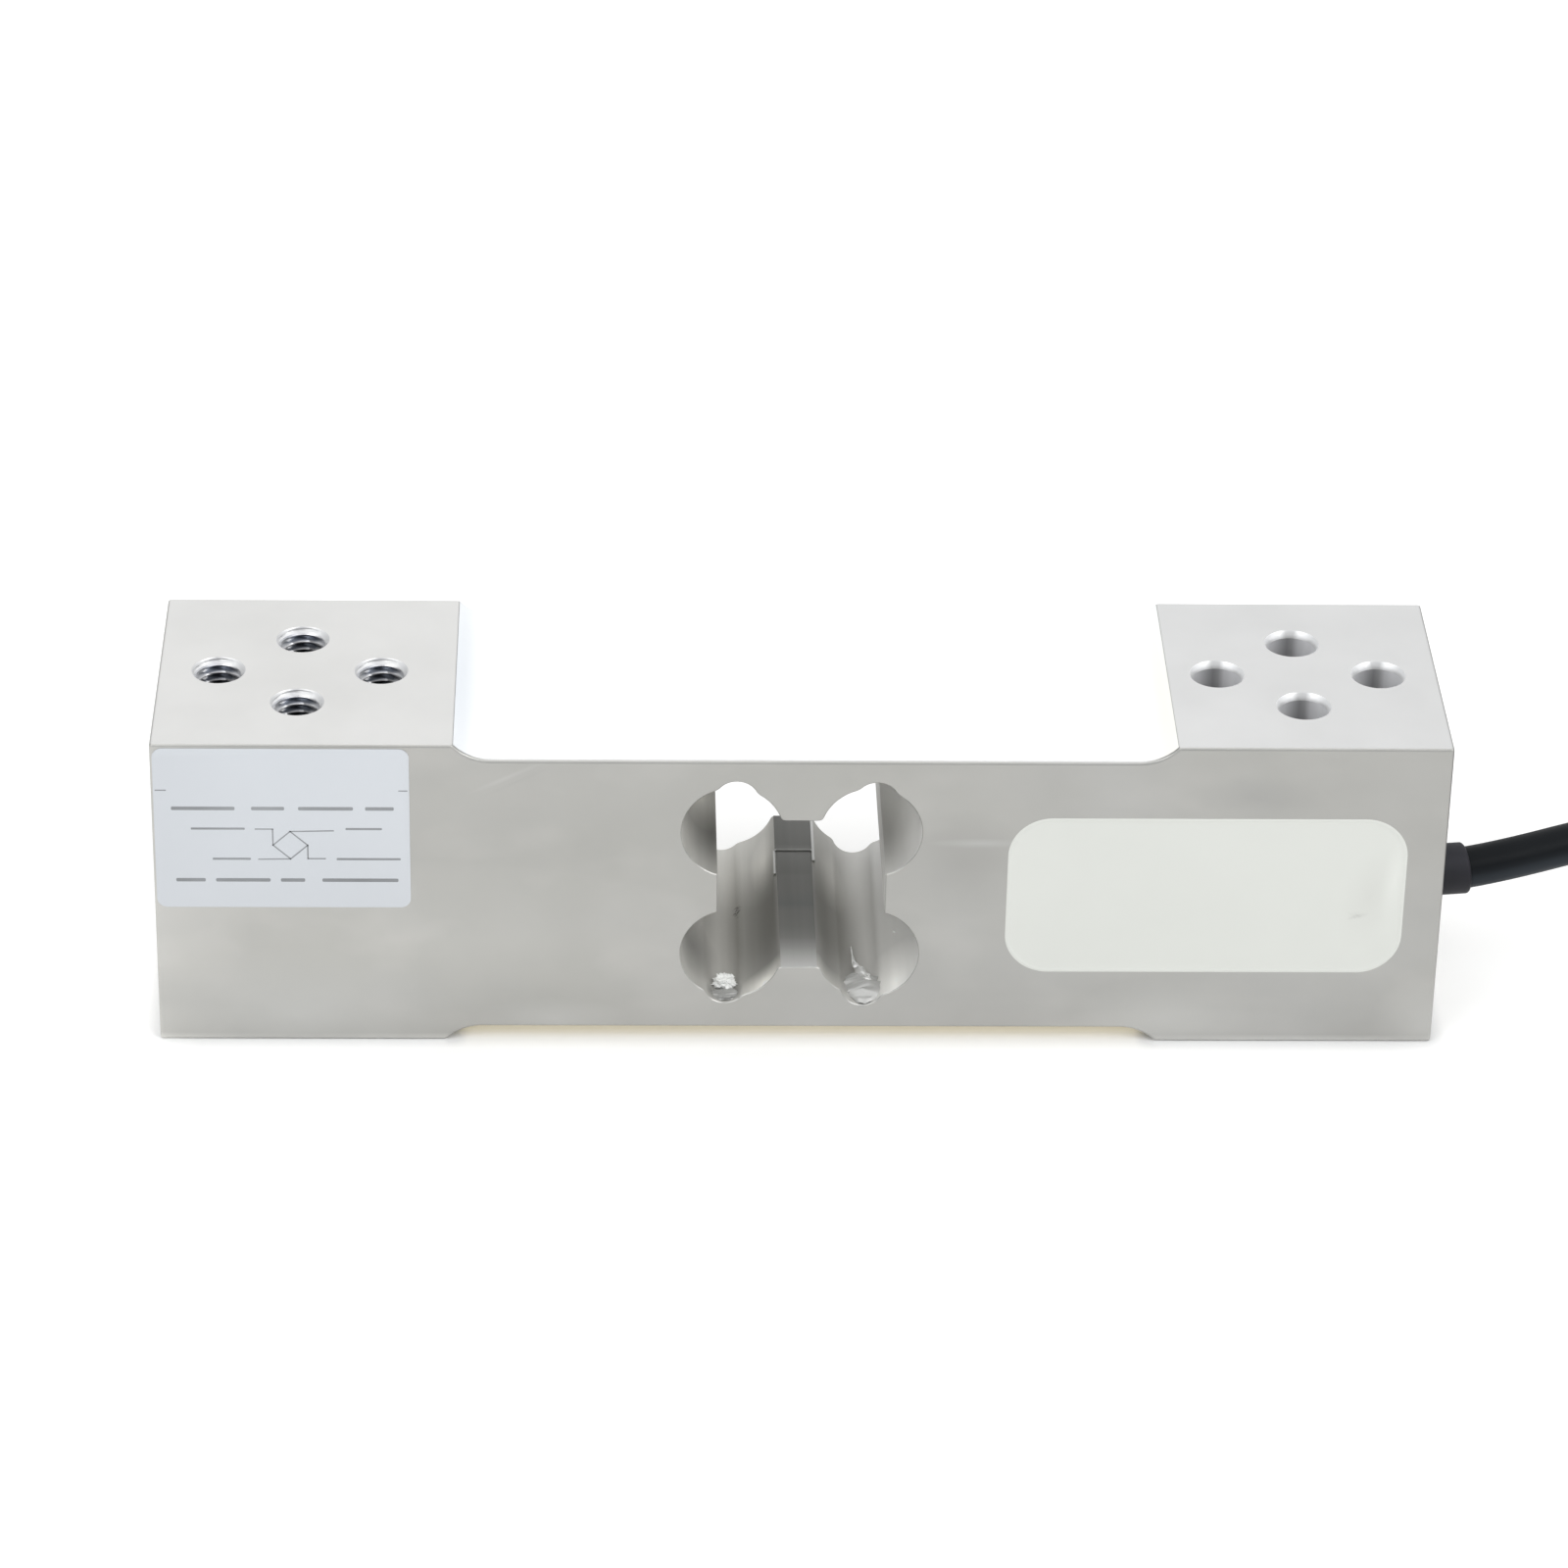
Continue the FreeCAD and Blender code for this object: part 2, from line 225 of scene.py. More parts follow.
def box_mask(nt, sep, lims, soft):
    """1 inside a box of object coordinates (metres), 0 outside, with soft borders."""
    out = None
    for ax, (lo, hi) in lims.items():
        for op, lim, sgn in (("SUBTRACT", lo, 1), ("SUBTRACT", hi, -1)):
            d = math_node(nt, op, sep.outputs[ax], lim)
            d = math_node(nt, "MULTIPLY", d, sgn / soft)
            n = nt.nodes.new("ShaderNodeClamp")
            nt.links.new(math_node(nt, "ADD", d, 0.5), n.inputs["Value"])
            out = n.outputs[0] if out is None else math_node(nt, "MULTIPLY", out, n.outputs[0])
    return out


def blob(nt, vec, centre, size, turn=0.0, power=2.0):
    """A soft spot for marks and for painted light and shade, on the front face and elsewhere: 1 at its centre, 0
    outside its size (metres).
    """
    mp = nt.nodes.new("ShaderNodeMapping")
    mp.vector_type = "TEXTURE"
    mp.inputs["Location"].default_value = centre
    mp.inputs["Rotation"].default_value = (0, turn, 0)
    mp.inputs["Scale"].default_value = size
    nt.links.new(vec, mp.inputs["Vector"])
    g = nt.nodes.new("ShaderNodeTexGradient")
    g.gradient_type = "SPHERICAL"
    nt.links.new(mp.outputs["Vector"], g.inputs["Vector"])
    return math_node(nt, "POWER", g.outputs["Fac"], power)


def shade(nt, colour, k):
    """A colour made darker or lighter by a factor."""
    n = nt.nodes.new("ShaderNodeVectorMath")
    n.operation = "SCALE"
    nt.links.new(colour, n.inputs[0])
    nt.links.new(k, n.inputs["Scale"])
    return n.outputs["Vector"]


def painted_patches(mat, patches):
    """Soft patches of painted light and shade on a plain material: (centre, size, turn, power, colour, amount)."""
    nt = mat.node_tree
    b = next(n for n in nt.nodes if n.type == "BSDF_PRINCIPLED")
    tone = b.inputs["Base Color"].links[0].from_socket
    v = coords(nt)
    for centre, size, turn, power, colour, amount in patches:
        tone = mixc(nt, math_node(nt, "MULTIPLY", blob(nt, v, centre, size, turn, power), amount), tone, colour)
    nt.links.new(tone, b.inputs["Base Color"])
    return mat


def facing_shade(mat, stops):
    """A round rubber piece: painted light and shade, its tone scaled by how far the surface faces up (0 down, 1 up).
    """
    nt = mat.node_tree
    b = next(n for n in nt.nodes if n.type == "BSDF_PRINCIPLED")
    tone = b.inputs["Base Color"].links[0].from_socket
    geo = nt.nodes.new("ShaderNodeNewGeometry")
    n = nt.nodes.new("ShaderNodeSeparateXYZ")
    nt.links.new(geo.outputs["Normal"], n.inputs[0])
    k = ramp(nt, span(nt, n.outputs["Z"], 0.0, 1.0, -1.0, 1.0), [(p, (q, q, q)) for p, q in stops])
    nt.links.new(mixc(nt, 1.0, tone, k, "MULTIPLY"), b.inputs["Base Color"])
    return mat


def aluminium_material():
    mat, nt, b = principled("milled_aluminium")
    v = coords(nt)
    b.inputs["Metallic"].default_value = 1.0
    geo = nt.nodes.new("ShaderNodeNewGeometry")
    nrm = nt.nodes.new("ShaderNodeSeparateXYZ")
    nt.links.new(geo.outputs["Normal"], nrm.inputs[0])
    pos = nt.nodes.new("ShaderNodeSeparateXYZ")
    nt.links.new(v, pos.inputs[0])
    ny = math_node(nt, "ABSOLUTE", nrm.outputs["Y"])
    on_side = math_node(nt, "GREATER_THAN", ny, 0.6)  # the long side faces
    on_top = math_node(nt, "GREATER_THAN", math_node(nt, "ABSOLUTE", nrm.outputs["Z"]), 0.9)
    # slow stains, warm and cool
    slow = noise_node(nt, v, 24.0, 3.0, 0.55)
    tone = ramp(nt, slow, [(0.32, FRONT_DARK), (0.50, FRONT_MID), (0.70, FRONT_LIGHT)])
    # smears left by wiping, long in X
    smear = noise_node(nt, coords(nt, (14.0, 60.0, 120.0)), 1.0, 3.0, 0.5)
    tone = mixc(nt, span(nt, smear, 0.0, 0.22, 0.45, 0.75), tone, (0.375, 0.370, 0.360))
    # faint blotches where the anodising took unevenly
    blot = noise_node(nt, coords(nt, (95.0, 95.0, 150.0)), 1.0, 2.0, 0.5)
    tone = mixc(nt, span(nt, blot, 0.0, 0.30, 0.52, 0.74), tone, (0.490, 0.482, 0.462))
    blot2 = noise_node(nt, coords(nt, (60.0, 60.0, 110.0), (0.3, 0.5, 0.2)), 1.0, 2.0, 0.5)
    tone = mixc(nt, span(nt, blot2, 0.0, 0.30, 0.55, 0.78), tone, (0.378, 0.377, 0.367))
    # painted light: the upward faces, the end blocks' tops, a lighter and more even tone, a little lighter to the
    # left; all faces lighter at the far left end and darker towards the right
    lit_top_tone = ramp(nt, span(nt, pos.outputs["X"], 0.0, 1.0, -0.04, 0.04), [(0.0, LIT_TOP_LEFT), (1.0, LIT_TOP_RIGHT)])
    tone = shade(nt, tone, span(nt, pos.outputs["X"], 1.0, 0.95, -0.01, 0.05))
    tone = shade(nt, tone, span(nt, pos.outputs["X"], 1.15, 1.0, -0.075, -0.064))
    tone = mixc(nt, math_node(nt, "MULTIPLY", on_top, 0.85), tone, lit_top_tone)
    # painted light and shade: all faces lighter towards the bottom and lighter still in the lowest millimetre; on the
    # front face lighter in a broad patch on the left and along the bottom on the right, darker left of the pocket
    front = math_node(nt, "LESS_THAN", nrm.outputs["Y"], -0.6)
    tone = shade(nt, tone, span(nt, pos.outputs["Z"], 1.06, 1.0, 0.0010, 0.0070))
    for centre, size, power, amount in (
        ((-0.0480, -0.0175, 0.0142), (0.0420, 0.02, 0.0105), 0.75, 0.17),
        ((0.0185, -0.0175, 0.0242), (0.0085, 0.02, 0.0075), 0.80, -0.14),
        ((0.0450, -0.0175, 0.0018), (0.0180, 0.02, 0.0030), 0.90, 0.12),
    ):
        g = math_node(nt, "MULTIPLY", blob(nt, v, centre, size, 0.0, power), amount)
        tone = shade(nt, tone, math_node(nt, "ADD", 1.0, math_node(nt, "MULTIPLY", g, front)))
    tone = shade(nt, tone, span(nt, pos.outputs["Z"], 1.50, 1.0, 0.0001, 0.0010))
    # on the front face: a dark smudge, a light streak and a scratch; then painted light in patches along the bottom
    # edge, and a darker patch low on the right
    for centre, size, turn, power, colour, amount in (
        ((0.0525, -0.0175, 0.0334), (0.0085, 0.01, 0.0030), 0.10, 1.1, (0.32, 0.32, 0.31), 0.50),
        ((0.0205, -0.0175, 0.0272), (0.0060, 0.01, 0.0007), 0.00, 1.0, (0.60, 0.61, 0.61), 0.24),
        ((-0.0340, -0.0175, 0.0358), (0.0055, 0.01, 0.0004), -0.45, 1.0, (0.56, 0.56, 0.55), 0.26),
        ((-0.0330, -0.0175, 0.0352), (0.0050, 0.01, 0.0003), -0.45, 1.0, (0.36, 0.36, 0.35), 0.24),
        ((-0.0590, -0.0175, 0.0035), (0.0190, 0.01, 0.0095), 0.00, 1.0, (0.53, 0.53, 0.515), 0.80),
        ((0.0735, -0.0175, 0.0022), (0.0060, 0.01, 0.0070), 0.00, 0.9, (0.53, 0.53, 0.515), 0.50),
        ((0.0430, -0.0175, 0.0030), (0.0110, 0.01, 0.0060), 0.00, 1.0, (0.53, 0.53, 0.515), 0.65),
        ((-0.0290, -0.0175, 0.0030), (0.0090, 0.01, 0.0030), 0.00, 1.0, (0.53, 0.53, 0.515), 0.55),
        ((0.0620, -0.0175, 0.0040), (0.0100, 0.01, 0.0030), 0.00, 1.3, (0.40, 0.40, 0.39), 0.45),
    ):
        k = math_node(nt, "MULTIPLY", blob(nt, v, centre, size, turn, power), amount)
        tone = mixc(nt, math_node(nt, "MULTIPLY", k, front), tone, colour)
    # the cut-out's walls, left as the cutter made them: fine lines along Y, matt
    hollow = box_mask(nt, pos, {"X": (-0.0143, 0.0143), "Z": (0.0045, 0.0358)}, 0.0002)
    walls = math_node(nt, "MULTIPLY", hollow, math_node(nt, "SUBTRACT", 1.0, on_side))
    draw = noise_node(nt, coords(nt, (500.0, 10.0, 500.0)), 1.0, 3.0, 0.55)
    wall = ramp(nt, draw, [(0.25, WALL_DARK), (0.75, WALL_LIGHT)])
    # painted light: the walls lighter towards the right of the cut-out
    wall = mixc(nt, span(nt, pos.outputs["X"], 0.0, 0.55, 0.0040, 0.0130), wall, (0.86, 0.86, 0.85))
    ax = math_node(nt, "ABSOLUTE", pos.outputs["X"])
    # painted shade: darker near the slot's web a little way in from the mouth, less so towards the rear, none at the
    # mouth
    web_shade = math_node(nt, "SUBTRACT", 1.0, span(nt, ax, 0.58, 1.0, 0.0035, 0.0084))
    web_shade = math_node(nt, "MULTIPLY", web_shade, span(nt, pos.outputs["Y"], 0.0, 1.0, -0.0174, -0.0140))
    web_shade = math_node(nt, "MULTIPLY", web_shade, span(nt, pos.outputs["Y"], 1.0, 0.25, 0.000, 0.010))
    k = math_node(nt, "SUBTRACT", 1.0, web_shade)
    # painted light: the lower walls on the left lighter towards the rear
    left_side = span(nt, pos.outputs["X"], 1.0, 0.0, -0.0035, -0.0025)
    rear = math_node(nt, "MULTIPLY", span(nt, pos.outputs["Y"], 0.0, 0.24, 0.001, 0.011), left_side)
    low = span(nt, pos.outputs["Z"], 1.0, 0.0, 0.015, 0.018)
    k = math_node(nt, "MULTIPLY", k, math_node(nt, "ADD", 1.0, math_node(nt, "MULTIPLY", rear, low)))
    # painted light and shade in soft patches over the cut-out's walls, with painted shade at both ends of the left
    # groove's torn skin
    for centre, size, amount in (
        ((-0.0103, -0.0085, 0.0231), (0.0040, 0.0130, 0.0040), -0.41),
        ((-0.0114, -0.0015, 0.0240), (0.0040, 0.0070, 0.0050), 0.90),
        ((0.0107, -0.0085, 0.0232), (0.0036, 0.0110, 0.0036), -0.22),
        ((0.0125, -0.0062, 0.0243), (0.0040, 0.0110, 0.0040), 0.30),
        ((-0.0037, 0.0093, 0.0084), (0.0018, 0.0065, 0.0030), 0.36),
        ((0.0048, 0.0069, 0.0071), (0.0022, 0.0070, 0.0026), 0.28),
        ((-0.0124, -0.0092, 0.0080), (0.0042, 0.0070, 0.0042), -0.45),
        ((0.0116, -0.0156, 0.0076), (0.0045, 0.0080, 0.0042), 0.42),
        ((-0.0040, -0.0168, 0.0078), (0.0034, 0.0034, 0.0034), 0.95),
        ((-0.0103, -0.0158, 0.0059), (0.0008, 0.0018, 0.0010), -0.42),
        ((-0.0072, -0.0156, 0.0058), (0.0008, 0.0018, 0.0010), -0.42),
    ):
        g = math_node(nt, "MULTIPLY", blob(nt, v, centre, size, 0.0, 0.9), amount)
        k = math_node(nt, "MULTIPLY", k, math_node(nt, "ADD", 1.0, g))
    wall = shade(nt, wall, k)
    stain = blob(nt, v, (STAIN[0], STAIN[1], STAIN[2]), (0.0008, 0.0016, 0.0008), 0.0, 0.7)
    specks = span(nt, noise_node(nt, v, 2400.0, 2.0), 0.0, 1.0, 0.48, 0.62)
    wall = mixc(nt, math_node(nt, "MULTIPLY", stain, specks), wall, (0.10, 0.09, 0.085))
    tone = mixc(nt, walls, tone, wall)
    # painted light and shade on the slot's floor: lighter at the mouth, darker towards the rear, with light and dark
    # bands at the cutter's steps
    up = math_node(nt, "GREATER_THAN", nrm.outputs["Z"], 0.97)
    strip = box_mask(nt, pos, {"X": (-0.0027, 0.0027), "Z": (0.0098, 0.0112)}, 0.0001)
    slot_floor_shade = ramp(nt, span(nt, pos.outputs["Y"], 0.0, 1.0, -0.0175, 0.0175), [(0.0, (0.64, 0.64, 0.63)), (0.07, (0.50, 0.50, 0.49)), (0.13, (0.37, 0.37, 0.36)), (0.19, (0.28, 0.28, 0.27)), (0.26, (0.25, 0.25, 0.24)), (0.36, (0.245, 0.245, 0.235)), (0.41, (0.215, 0.22, 0.215)), (0.50, (0.235, 0.235, 0.225)), (0.59, (0.240, 0.240, 0.230)), (0.615, (0.225, 0.225, 0.215)), (0.72, (0.250, 0.250, 0.240)), (0.745, (0.270, 0.270, 0.260)), (0.80, (0.21, 0.21, 0.20)), (1.0, (0.21, 0.21, 0.20))])
    tone = mixc(nt, math_node(nt, "MULTIPLY", strip, up), tone, slot_floor_shade)
    # painted highlights: bright along the top of the step ridge across the slot's floor, fainter on the ridge's face
    # and on the beads along the floor's edges
    bead = box_mask(nt, pos, {"X": (-0.0028, 0.0028), "Z": (0.01031, 0.0108)}, 0.00002)
    ridge = box_mask(nt, pos, {"X": (-0.0022, 0.0022), "Y": (0.0087, 0.0094), "Z": (0.01012, 0.0108)}, 0.00002)
    tone = mixc(nt, ridge, tone, (0.345, 0.345, 0.335))
    across = math_node(nt, "LESS_THAN", ax, 0.0021)
    tone = mixc(nt, bead, tone, mixc(nt, across, (0.70, 0.70, 0.69), (0.345, 0.345, 0.335)))
    # painted light and shade round the holes: painted highlights on the thread crests, the rims and the chamfers,
    # painted shade in the thread roots and deeper down; the bores lighter or darker by which way they face
    def axis_distance(cx):
        got = None
        for dx, dy in ((-0.0095, 0), (0.0095, 0), (0, 0.0075), (0, -0.0075)):
            ex = math_node(nt, "SUBTRACT", pos.outputs["X"], cx + dx)
            ey = math_node(nt, "SUBTRACT", pos.outputs["Y"], dy)
            h = math_node(nt, "SQRT", math_node(nt, "ADD", math_node(nt, "MULTIPLY", ex, ex), math_node(nt, "MULTIPLY", ey, ey)))
            got = h if got is None else math_node(nt, "MINIMUM", got, h)
        return got

    not_flat = math_node(nt, "LESS_THAN", math_node(nt, "ABSOLUTE", nrm.outputs["Z"]), 0.985)
    rl = axis_distance(-0.0585)
    in_left = math_node(nt, "MULTIPLY", math_node(nt, "LESS_THAN", rl, 0.0035), not_flat)
    thread_light = ramp(nt, span(nt, rl, 0.0, 1.0, 0.00248, 0.00310), [(0.0, (0.78, 0.78, 0.79)), (0.12, (0.56, 0.56, 0.58)), (0.34, (0.31, 0.335, 0.39)), (1.0, (0.20, 0.22, 0.27))])
    thread_light = shade(nt, thread_light, span(nt, pos.outputs["Z"], 0.16, 1.0, 0.0368, 0.0391))
    rim = math_node(nt, "GREATER_THAN", pos.outputs["Z"], 0.03935)
    side_on = span(nt, nrm.outputs["X"], 0.0, 1.0, -1.0, 1.0)
    rim_highlight = ramp(nt, side_on, [(0.12, (0.62, 0.62, 0.62)), (0.26, (0.95, 0.95, 0.95)), (0.40, (0.66, 0.66, 0.66)), (0.55, (0.52, 0.52, 0.53)), (0.74, (0.95, 0.95, 0.95)), (0.88, (0.62, 0.62, 0.62))])
    flank = span(nt, math_node(nt, "ABSOLUTE", nrm.outputs["X"]), 0.0, 0.80, 0.30, 0.47)
    thread_light = mixc(nt, flank, thread_light, (0.70, 0.70, 0.71))
    thread_light = mixc(nt, rim, thread_light, rim_highlight)
    tone = mixc(nt, in_left, tone, thread_light)
    rr = axis_distance(0.0585)
    in_right = math_node(nt, "MULTIPLY", math_node(nt, "LESS_THAN", rr, 0.0035), not_flat)
    bore_shade = ramp(nt, side_on, [(0.0, (0.95, 0.95, 0.96)), (0.14, (0.90, 0.90, 0.91)), (0.30, (0.70, 0.70, 0.71)), (0.42, (0.375, 0.375, 0.38)), (0.53, (0.275, 0.275, 0.28)), (0.66, (0.40, 0.40, 0.41)), (0.82, (0.60, 0.60, 0.61)), (1.0, (0.85, 0.85, 0.86))])
    mouth_highlight = ramp(nt, side_on, [(0.12, (0.80, 0.80, 0.80)), (0.20, LIT_MOUTH), (0.32, LIT_MOUTH), (0.42, (0.62, 0.62, 0.62)), (0.56, (0.58, 0.58, 0.58)), (0.68, LIT_MOUTH), (0.80, LIT_MOUTH), (0.90, (0.80, 0.80, 0.80))])
    at_mouth = math_node(nt, "GREATER_THAN", pos.outputs["Z"], 0.03914)
    tone = mixc(nt, in_right, tone, mixc(nt, at_mouth, bore_shade, mouth_highlight))
    nt.links.new(tone, b.inputs["Base Color"])
    # gloss
    cloud = noise_node(nt, v, 60.0, 4.0, 0.6)

    def mixf_(fac, a_, b_):
        n = nt.nodes.new("ShaderNodeMix")
        n.data_type = "FLOAT"
        for sock, val in ((n.inputs["Factor"], fac), (n.inputs["A"], a_), (n.inputs["B"], b_)):
            if isinstance(val, bpy.types.NodeSocket):
                nt.links.new(val, sock)
            else:
                sock.default_value = val
        return n.outputs["Result"]

    rough = mixf_(walls, span(nt, cloud, 0.40, 0.50), span(nt, draw, 0.70, 0.80))
    rough = mixf_(in_left, rough, 0.36)
    rough = mixf_(in_right, rough, 0.42)
    nt.links.new(rough, b.inputs["Roughness"])
    metal = mixf_(walls, 1.0, 0.72)
    metal = mixf_(in_right, metal, 0.45)
    metal = mixf_(math_node(nt, "MULTIPLY", in_left, flank), metal, 0.35)
    metal = mixf_(math_node(nt, "MULTIPLY", in_left, rim), metal, 0.50)
    nt.links.new(metal, b.inputs["Metallic"])
    # grain of the finish, then the cutter's lines
    grain = noise_node(nt, v, 2600.0, 3.0, 0.65)
    n1 = bump(nt, b, grain, 0.20, 0.006 * MM)
    lines = noise_node(nt, coords(nt, (6.0, 900.0, 900.0)), 1.0, 3.0, 0.6)
    lines_y = noise_node(nt, coords(nt, (1500.0, 25.0, 1500.0)), 1.0, 2.0, 0.6)
    mixf = nt.nodes.new("ShaderNodeMix")
    mixf.data_type = "FLOAT"
    nt.links.new(on_side, mixf.inputs["Factor"])
    nt.links.new(lines_y, mixf.inputs["A"])
    nt.links.new(lines, mixf.inputs["B"])
    bump(nt, b, mixf.outputs["Result"], 0.16, 0.010 * MM, n1)
    return mat


FRONT_DARK, FRONT_MID, FRONT_LIGHT = (0.397, 0.394, 0.374), (0.420, 0.416, 0.398), (0.440, 0.438, 0.425)
# painted light: the lighter tone of the upward faces, at the left and the right
LIT_TOP_LEFT, LIT_TOP_RIGHT = (0.624, 0.618, 0.605), (0.600, 0.598, 0.594)
# painted highlight on the right holes' chamfers
LIT_MOUTH = (0.98, 0.98, 0.985)
WALL_DARK, WALL_LIGHT = (0.523, 0.515, 0.487), (0.623, 0.615, 0.587)
STAIN = (-0.0069, 0.0016, 0.0060)

MAT = {
    "aluminium": aluminium_material(),
    # painted shade on the top cover where it meets the end blocks: bluish at the left end, cream at the right
    "silicone": painted_patches(plain_material("white_silicone", (0.82, 0.825, 0.82), 0.45, 0.012, 500.0, 0.02), [
        ((-0.0400, -0.0015, 0.0385), (0.0024, 0.024, 0.0060), 0.0, 0.5, (0.640, 0.668, 0.705), 0.95),
        ((0.0425, -0.0060, 0.0385), (0.0030, 0.024, 0.0050), 0.0, 0.9, (0.84, 0.80, 0.70), 0.70),
    ]),
    "smear": plain_material("torn_metal_skin", (0.42, 0.42, 0.41), 0.45, 0.26, 1100.0, 0.12, 0.5, 0.40),
    "silicone_warm": plain_material("aged_silicone", (0.93, 0.89, 0.80), 0.50, 0.02, 500.0, 0.02),
    "crumb": plain_material("torn_silicone", (0.84, 0.845, 0.83), 0.40, 0.05, 700.0, 0.05),
    "chip": plain_material("metal_chip", (0.88, 0.88, 0.87), 0.36, 0.06, 900.0, 0.05, 0.5, 0.55),
    # painted shade on the left side of the potting's fuller right end, painted light on its right side, and a line of
    # painted shade along the drag mark
    "potting": painted_patches(plain_material("potting_silicone", (0.605, 0.615, 0.582), 0.50, 0.012, 420.0, 0.03), [
        ((0.0664, -0.0175, 0.0200), (0.0036, 0.01, 0.0075), 0.25, 1.2, (0.550, 0.555, 0.525), 0.60),
        ((0.0692, -0.0175, 0.0225), (0.0016, 0.01, 0.0060), 0.10, 1.2, (0.665, 0.675, 0.640), 0.75),
        ((0.0652, -0.0175, 0.0174), (0.0014, 0.01, 0.00028), -0.30, 0.6, (0.50, 0.505, 0.48), 0.60),
    ]),
    "label": plain_material("label_film", (0.550, 0.572, 0.602), 0.40, 0.010, 1500.0, 0.004, 0.4),
    "ink": plain_material("label_ink", (0.235, 0.245, 0.255), 0.50, 0.20, 3000.0, 0.004),
    # painted shade: the cable jacket darker where it faces up, the collar darker round its sides
    "jacket": facing_shade(plain_material("cable_jacket", (0.0235, 0.0285, 0.0345), 0.42, 0.15, 1300.0, 0.012, 0.08), [(0.0, 1.0), (0.35, 1.0), (0.50, 0.78), (0.60, 0.40), (0.72, 0.26), (1.0, 0.25)]),
    "collar": facing_shade(plain_material("collar_rubber", (0.0245, 0.0245, 0.031), 0.55, 0.12, 1100.0, 0.02, 0.20), [(0.0, 0.95), (0.30, 0.75), (0.50, 0.62), (0.70, 0.72), (0.88, 1.0), (1.0, 1.0)]),
    "tie": plain_material("tie_nylon", (0.020, 0.020, 0.021), 0.38, 0.12, 1500.0, 0.006),
    "red": plain_material("red_insulation", (0.50, 0.018, 0.016), 0.40, 0.08, 1500.0, 0.005),
    "black": plain_material("black_insulation", (0.014, 0.014, 0.014), 0.40, 0.10, 1500.0, 0.005),
    "green": plain_material("green_insulation", (0.012, 0.19, 0.045), 0.40, 0.08, 1500.0, 0.005),
    "white": plain_material("white_insulation", (0.78, 0.78, 0.75), 0.40, 0.04, 1500.0, 0.005),
    "tinned": plain_material("tinned_copper", (0.62, 0.60, 0.56), 0.30, 0.08, 2500.0, 0.01, 0.5, 1.0),
    "filler": plain_material("cable_filler", (0.55, 0.53, 0.48), 0.70, 0.10, 1500.0, 0.02),
    "film": plain_material("gauge_film", (0.45, 0.20, 0.05), 0.35, 0.10, 1500.0, 0.004),
    "enamel": plain_material("enamelled_wire", (0.32, 0.09, 0.03), 0.30, 0.12, 1500.0, 0.004),
    "board": plain_material("board_mask", (0.02, 0.13, 0.05), 0.35, 0.10, 1500.0, 0.004),
    "resistor": plain_material("chip_body", (0.02, 0.02, 0.022), 0.35, 0.15, 1500.0, 0.004),
}

# ------------------------------------------------------------------ the cable's line
CABLE_R = 2.5
PITCH = 5.1
CX, CY, S = 157.0, 5.1, 57.0
RI, RO = 15.0, 20.1
LZ = [2.5, 7.6, 12.7]
RREF = (RI + RO) / 2
LAP = 2 * S + 2 * math.pi * RREF
TIE_FRONT, TIE_BACK, TIE_T = 173.0, 152.0, 0.7
SLOTS = [(RO, 17.7), (RO, LZ[2]), (RI, LZ[2]), (RI, LZ[1]), (RO, LZ[1]), (RO, LZ[0]), (RI, LZ[0]), (RI - PITCH, LZ[0])]

# the cable leaves the end face, crosses to the hank and lies on its front run
route = [
    (64.5, -11.8, 20.0),
    (74.8, -11.8, 20.0),
    (83.0, -10.3, 20.75),
    (96.5, -6.6, 22.6),
    (110.0, -6.9, 22.4),
    (128.0, -12.8, 19.7),
    (147.0, -15.0, 17.8),
    (167.0, -14.8, 18.4),
    (179.0, -14.9, 18.3),
]
# one turn of the hank: side, place along it (mm or degrees round the fold), lift over a tie
TURN = [
    ("front", 135, 0.0), ("front", 152, 0.1), ("front", 167, 0.75), ("front", 179, 0.75),
    ("right", 22.5, 0.1), ("right", 67.5, 0.0), ("right", 112.5, 0.0), ("right", 157.5, 0.0),
    ("back", 176, 0.1), ("back", 158, 0.75), ("back", 146, 0.75), ("back", 134, 0.1),
    ("left", 22.5, 0.0), ("left", 67.5, 0.0), ("left", 112.5, 0.0), ("left", 157.5, 0.0),
]
ARC = math.pi * RREF


def turn_point(lap, side, at, up_by, k):
    """One control point of the hank's turns: which strand it is on sets its radius and height."""
    x0, x1 = CX - S / 2, CX + S / 2
    if side == "front":
        u = at - x0
    elif side == "right":
        u = S + ARC * at / 180
    elif side == "back":
        u = S + ARC + (x1 - at)
    else:
        u = 2 * S + ARC + ARC * at / 180
    r, z = SLOTS[0]
    for j in range(7):
        f = step((lap * LAP + u - j * LAP - 60 + 10 * j) / 30.0)
        r += (SLOTS[j + 1][0] - SLOTS[j][0]) * f
        z += (SLOTS[j + 1][1] - SLOTS[j][1]) * f
    w = 0.25 * noise.noise(Vector((k * 0.61, 1.7, 4.2)))
    a = math.radians(at)
    rc = (r + w) * 1.082
    if side == "front":
        p = (at, CY - r + w)
    elif side == "right":
        p = (x1 + rc * math.sin(a), CY - rc * math.cos(a))
    elif side == "back":
        p = (at, CY + r + w)
    else:
        p = (x0 - rc * math.sin(a), CY + rc * math.cos(a))
    return Vector((p[0], p[1], z + up_by + (0.15 * abs(w) if z > LZ[0] + 0.1 else 0.02)))


points = [Vector(p) for p in route]
k = 0
for lap in range(7):
    for j, (side, at, up_by) in enumerate(TURN):
        if lap == 0 and j < 4:
            continue
        if lap == 6 and j > 1:
            break
        points.append(turn_point(lap, side, at, up_by, k))
        k += 1
points += [Vector((157.0, -4.4, 2.55)), Vector((165.0, -3.2, 2.52))]

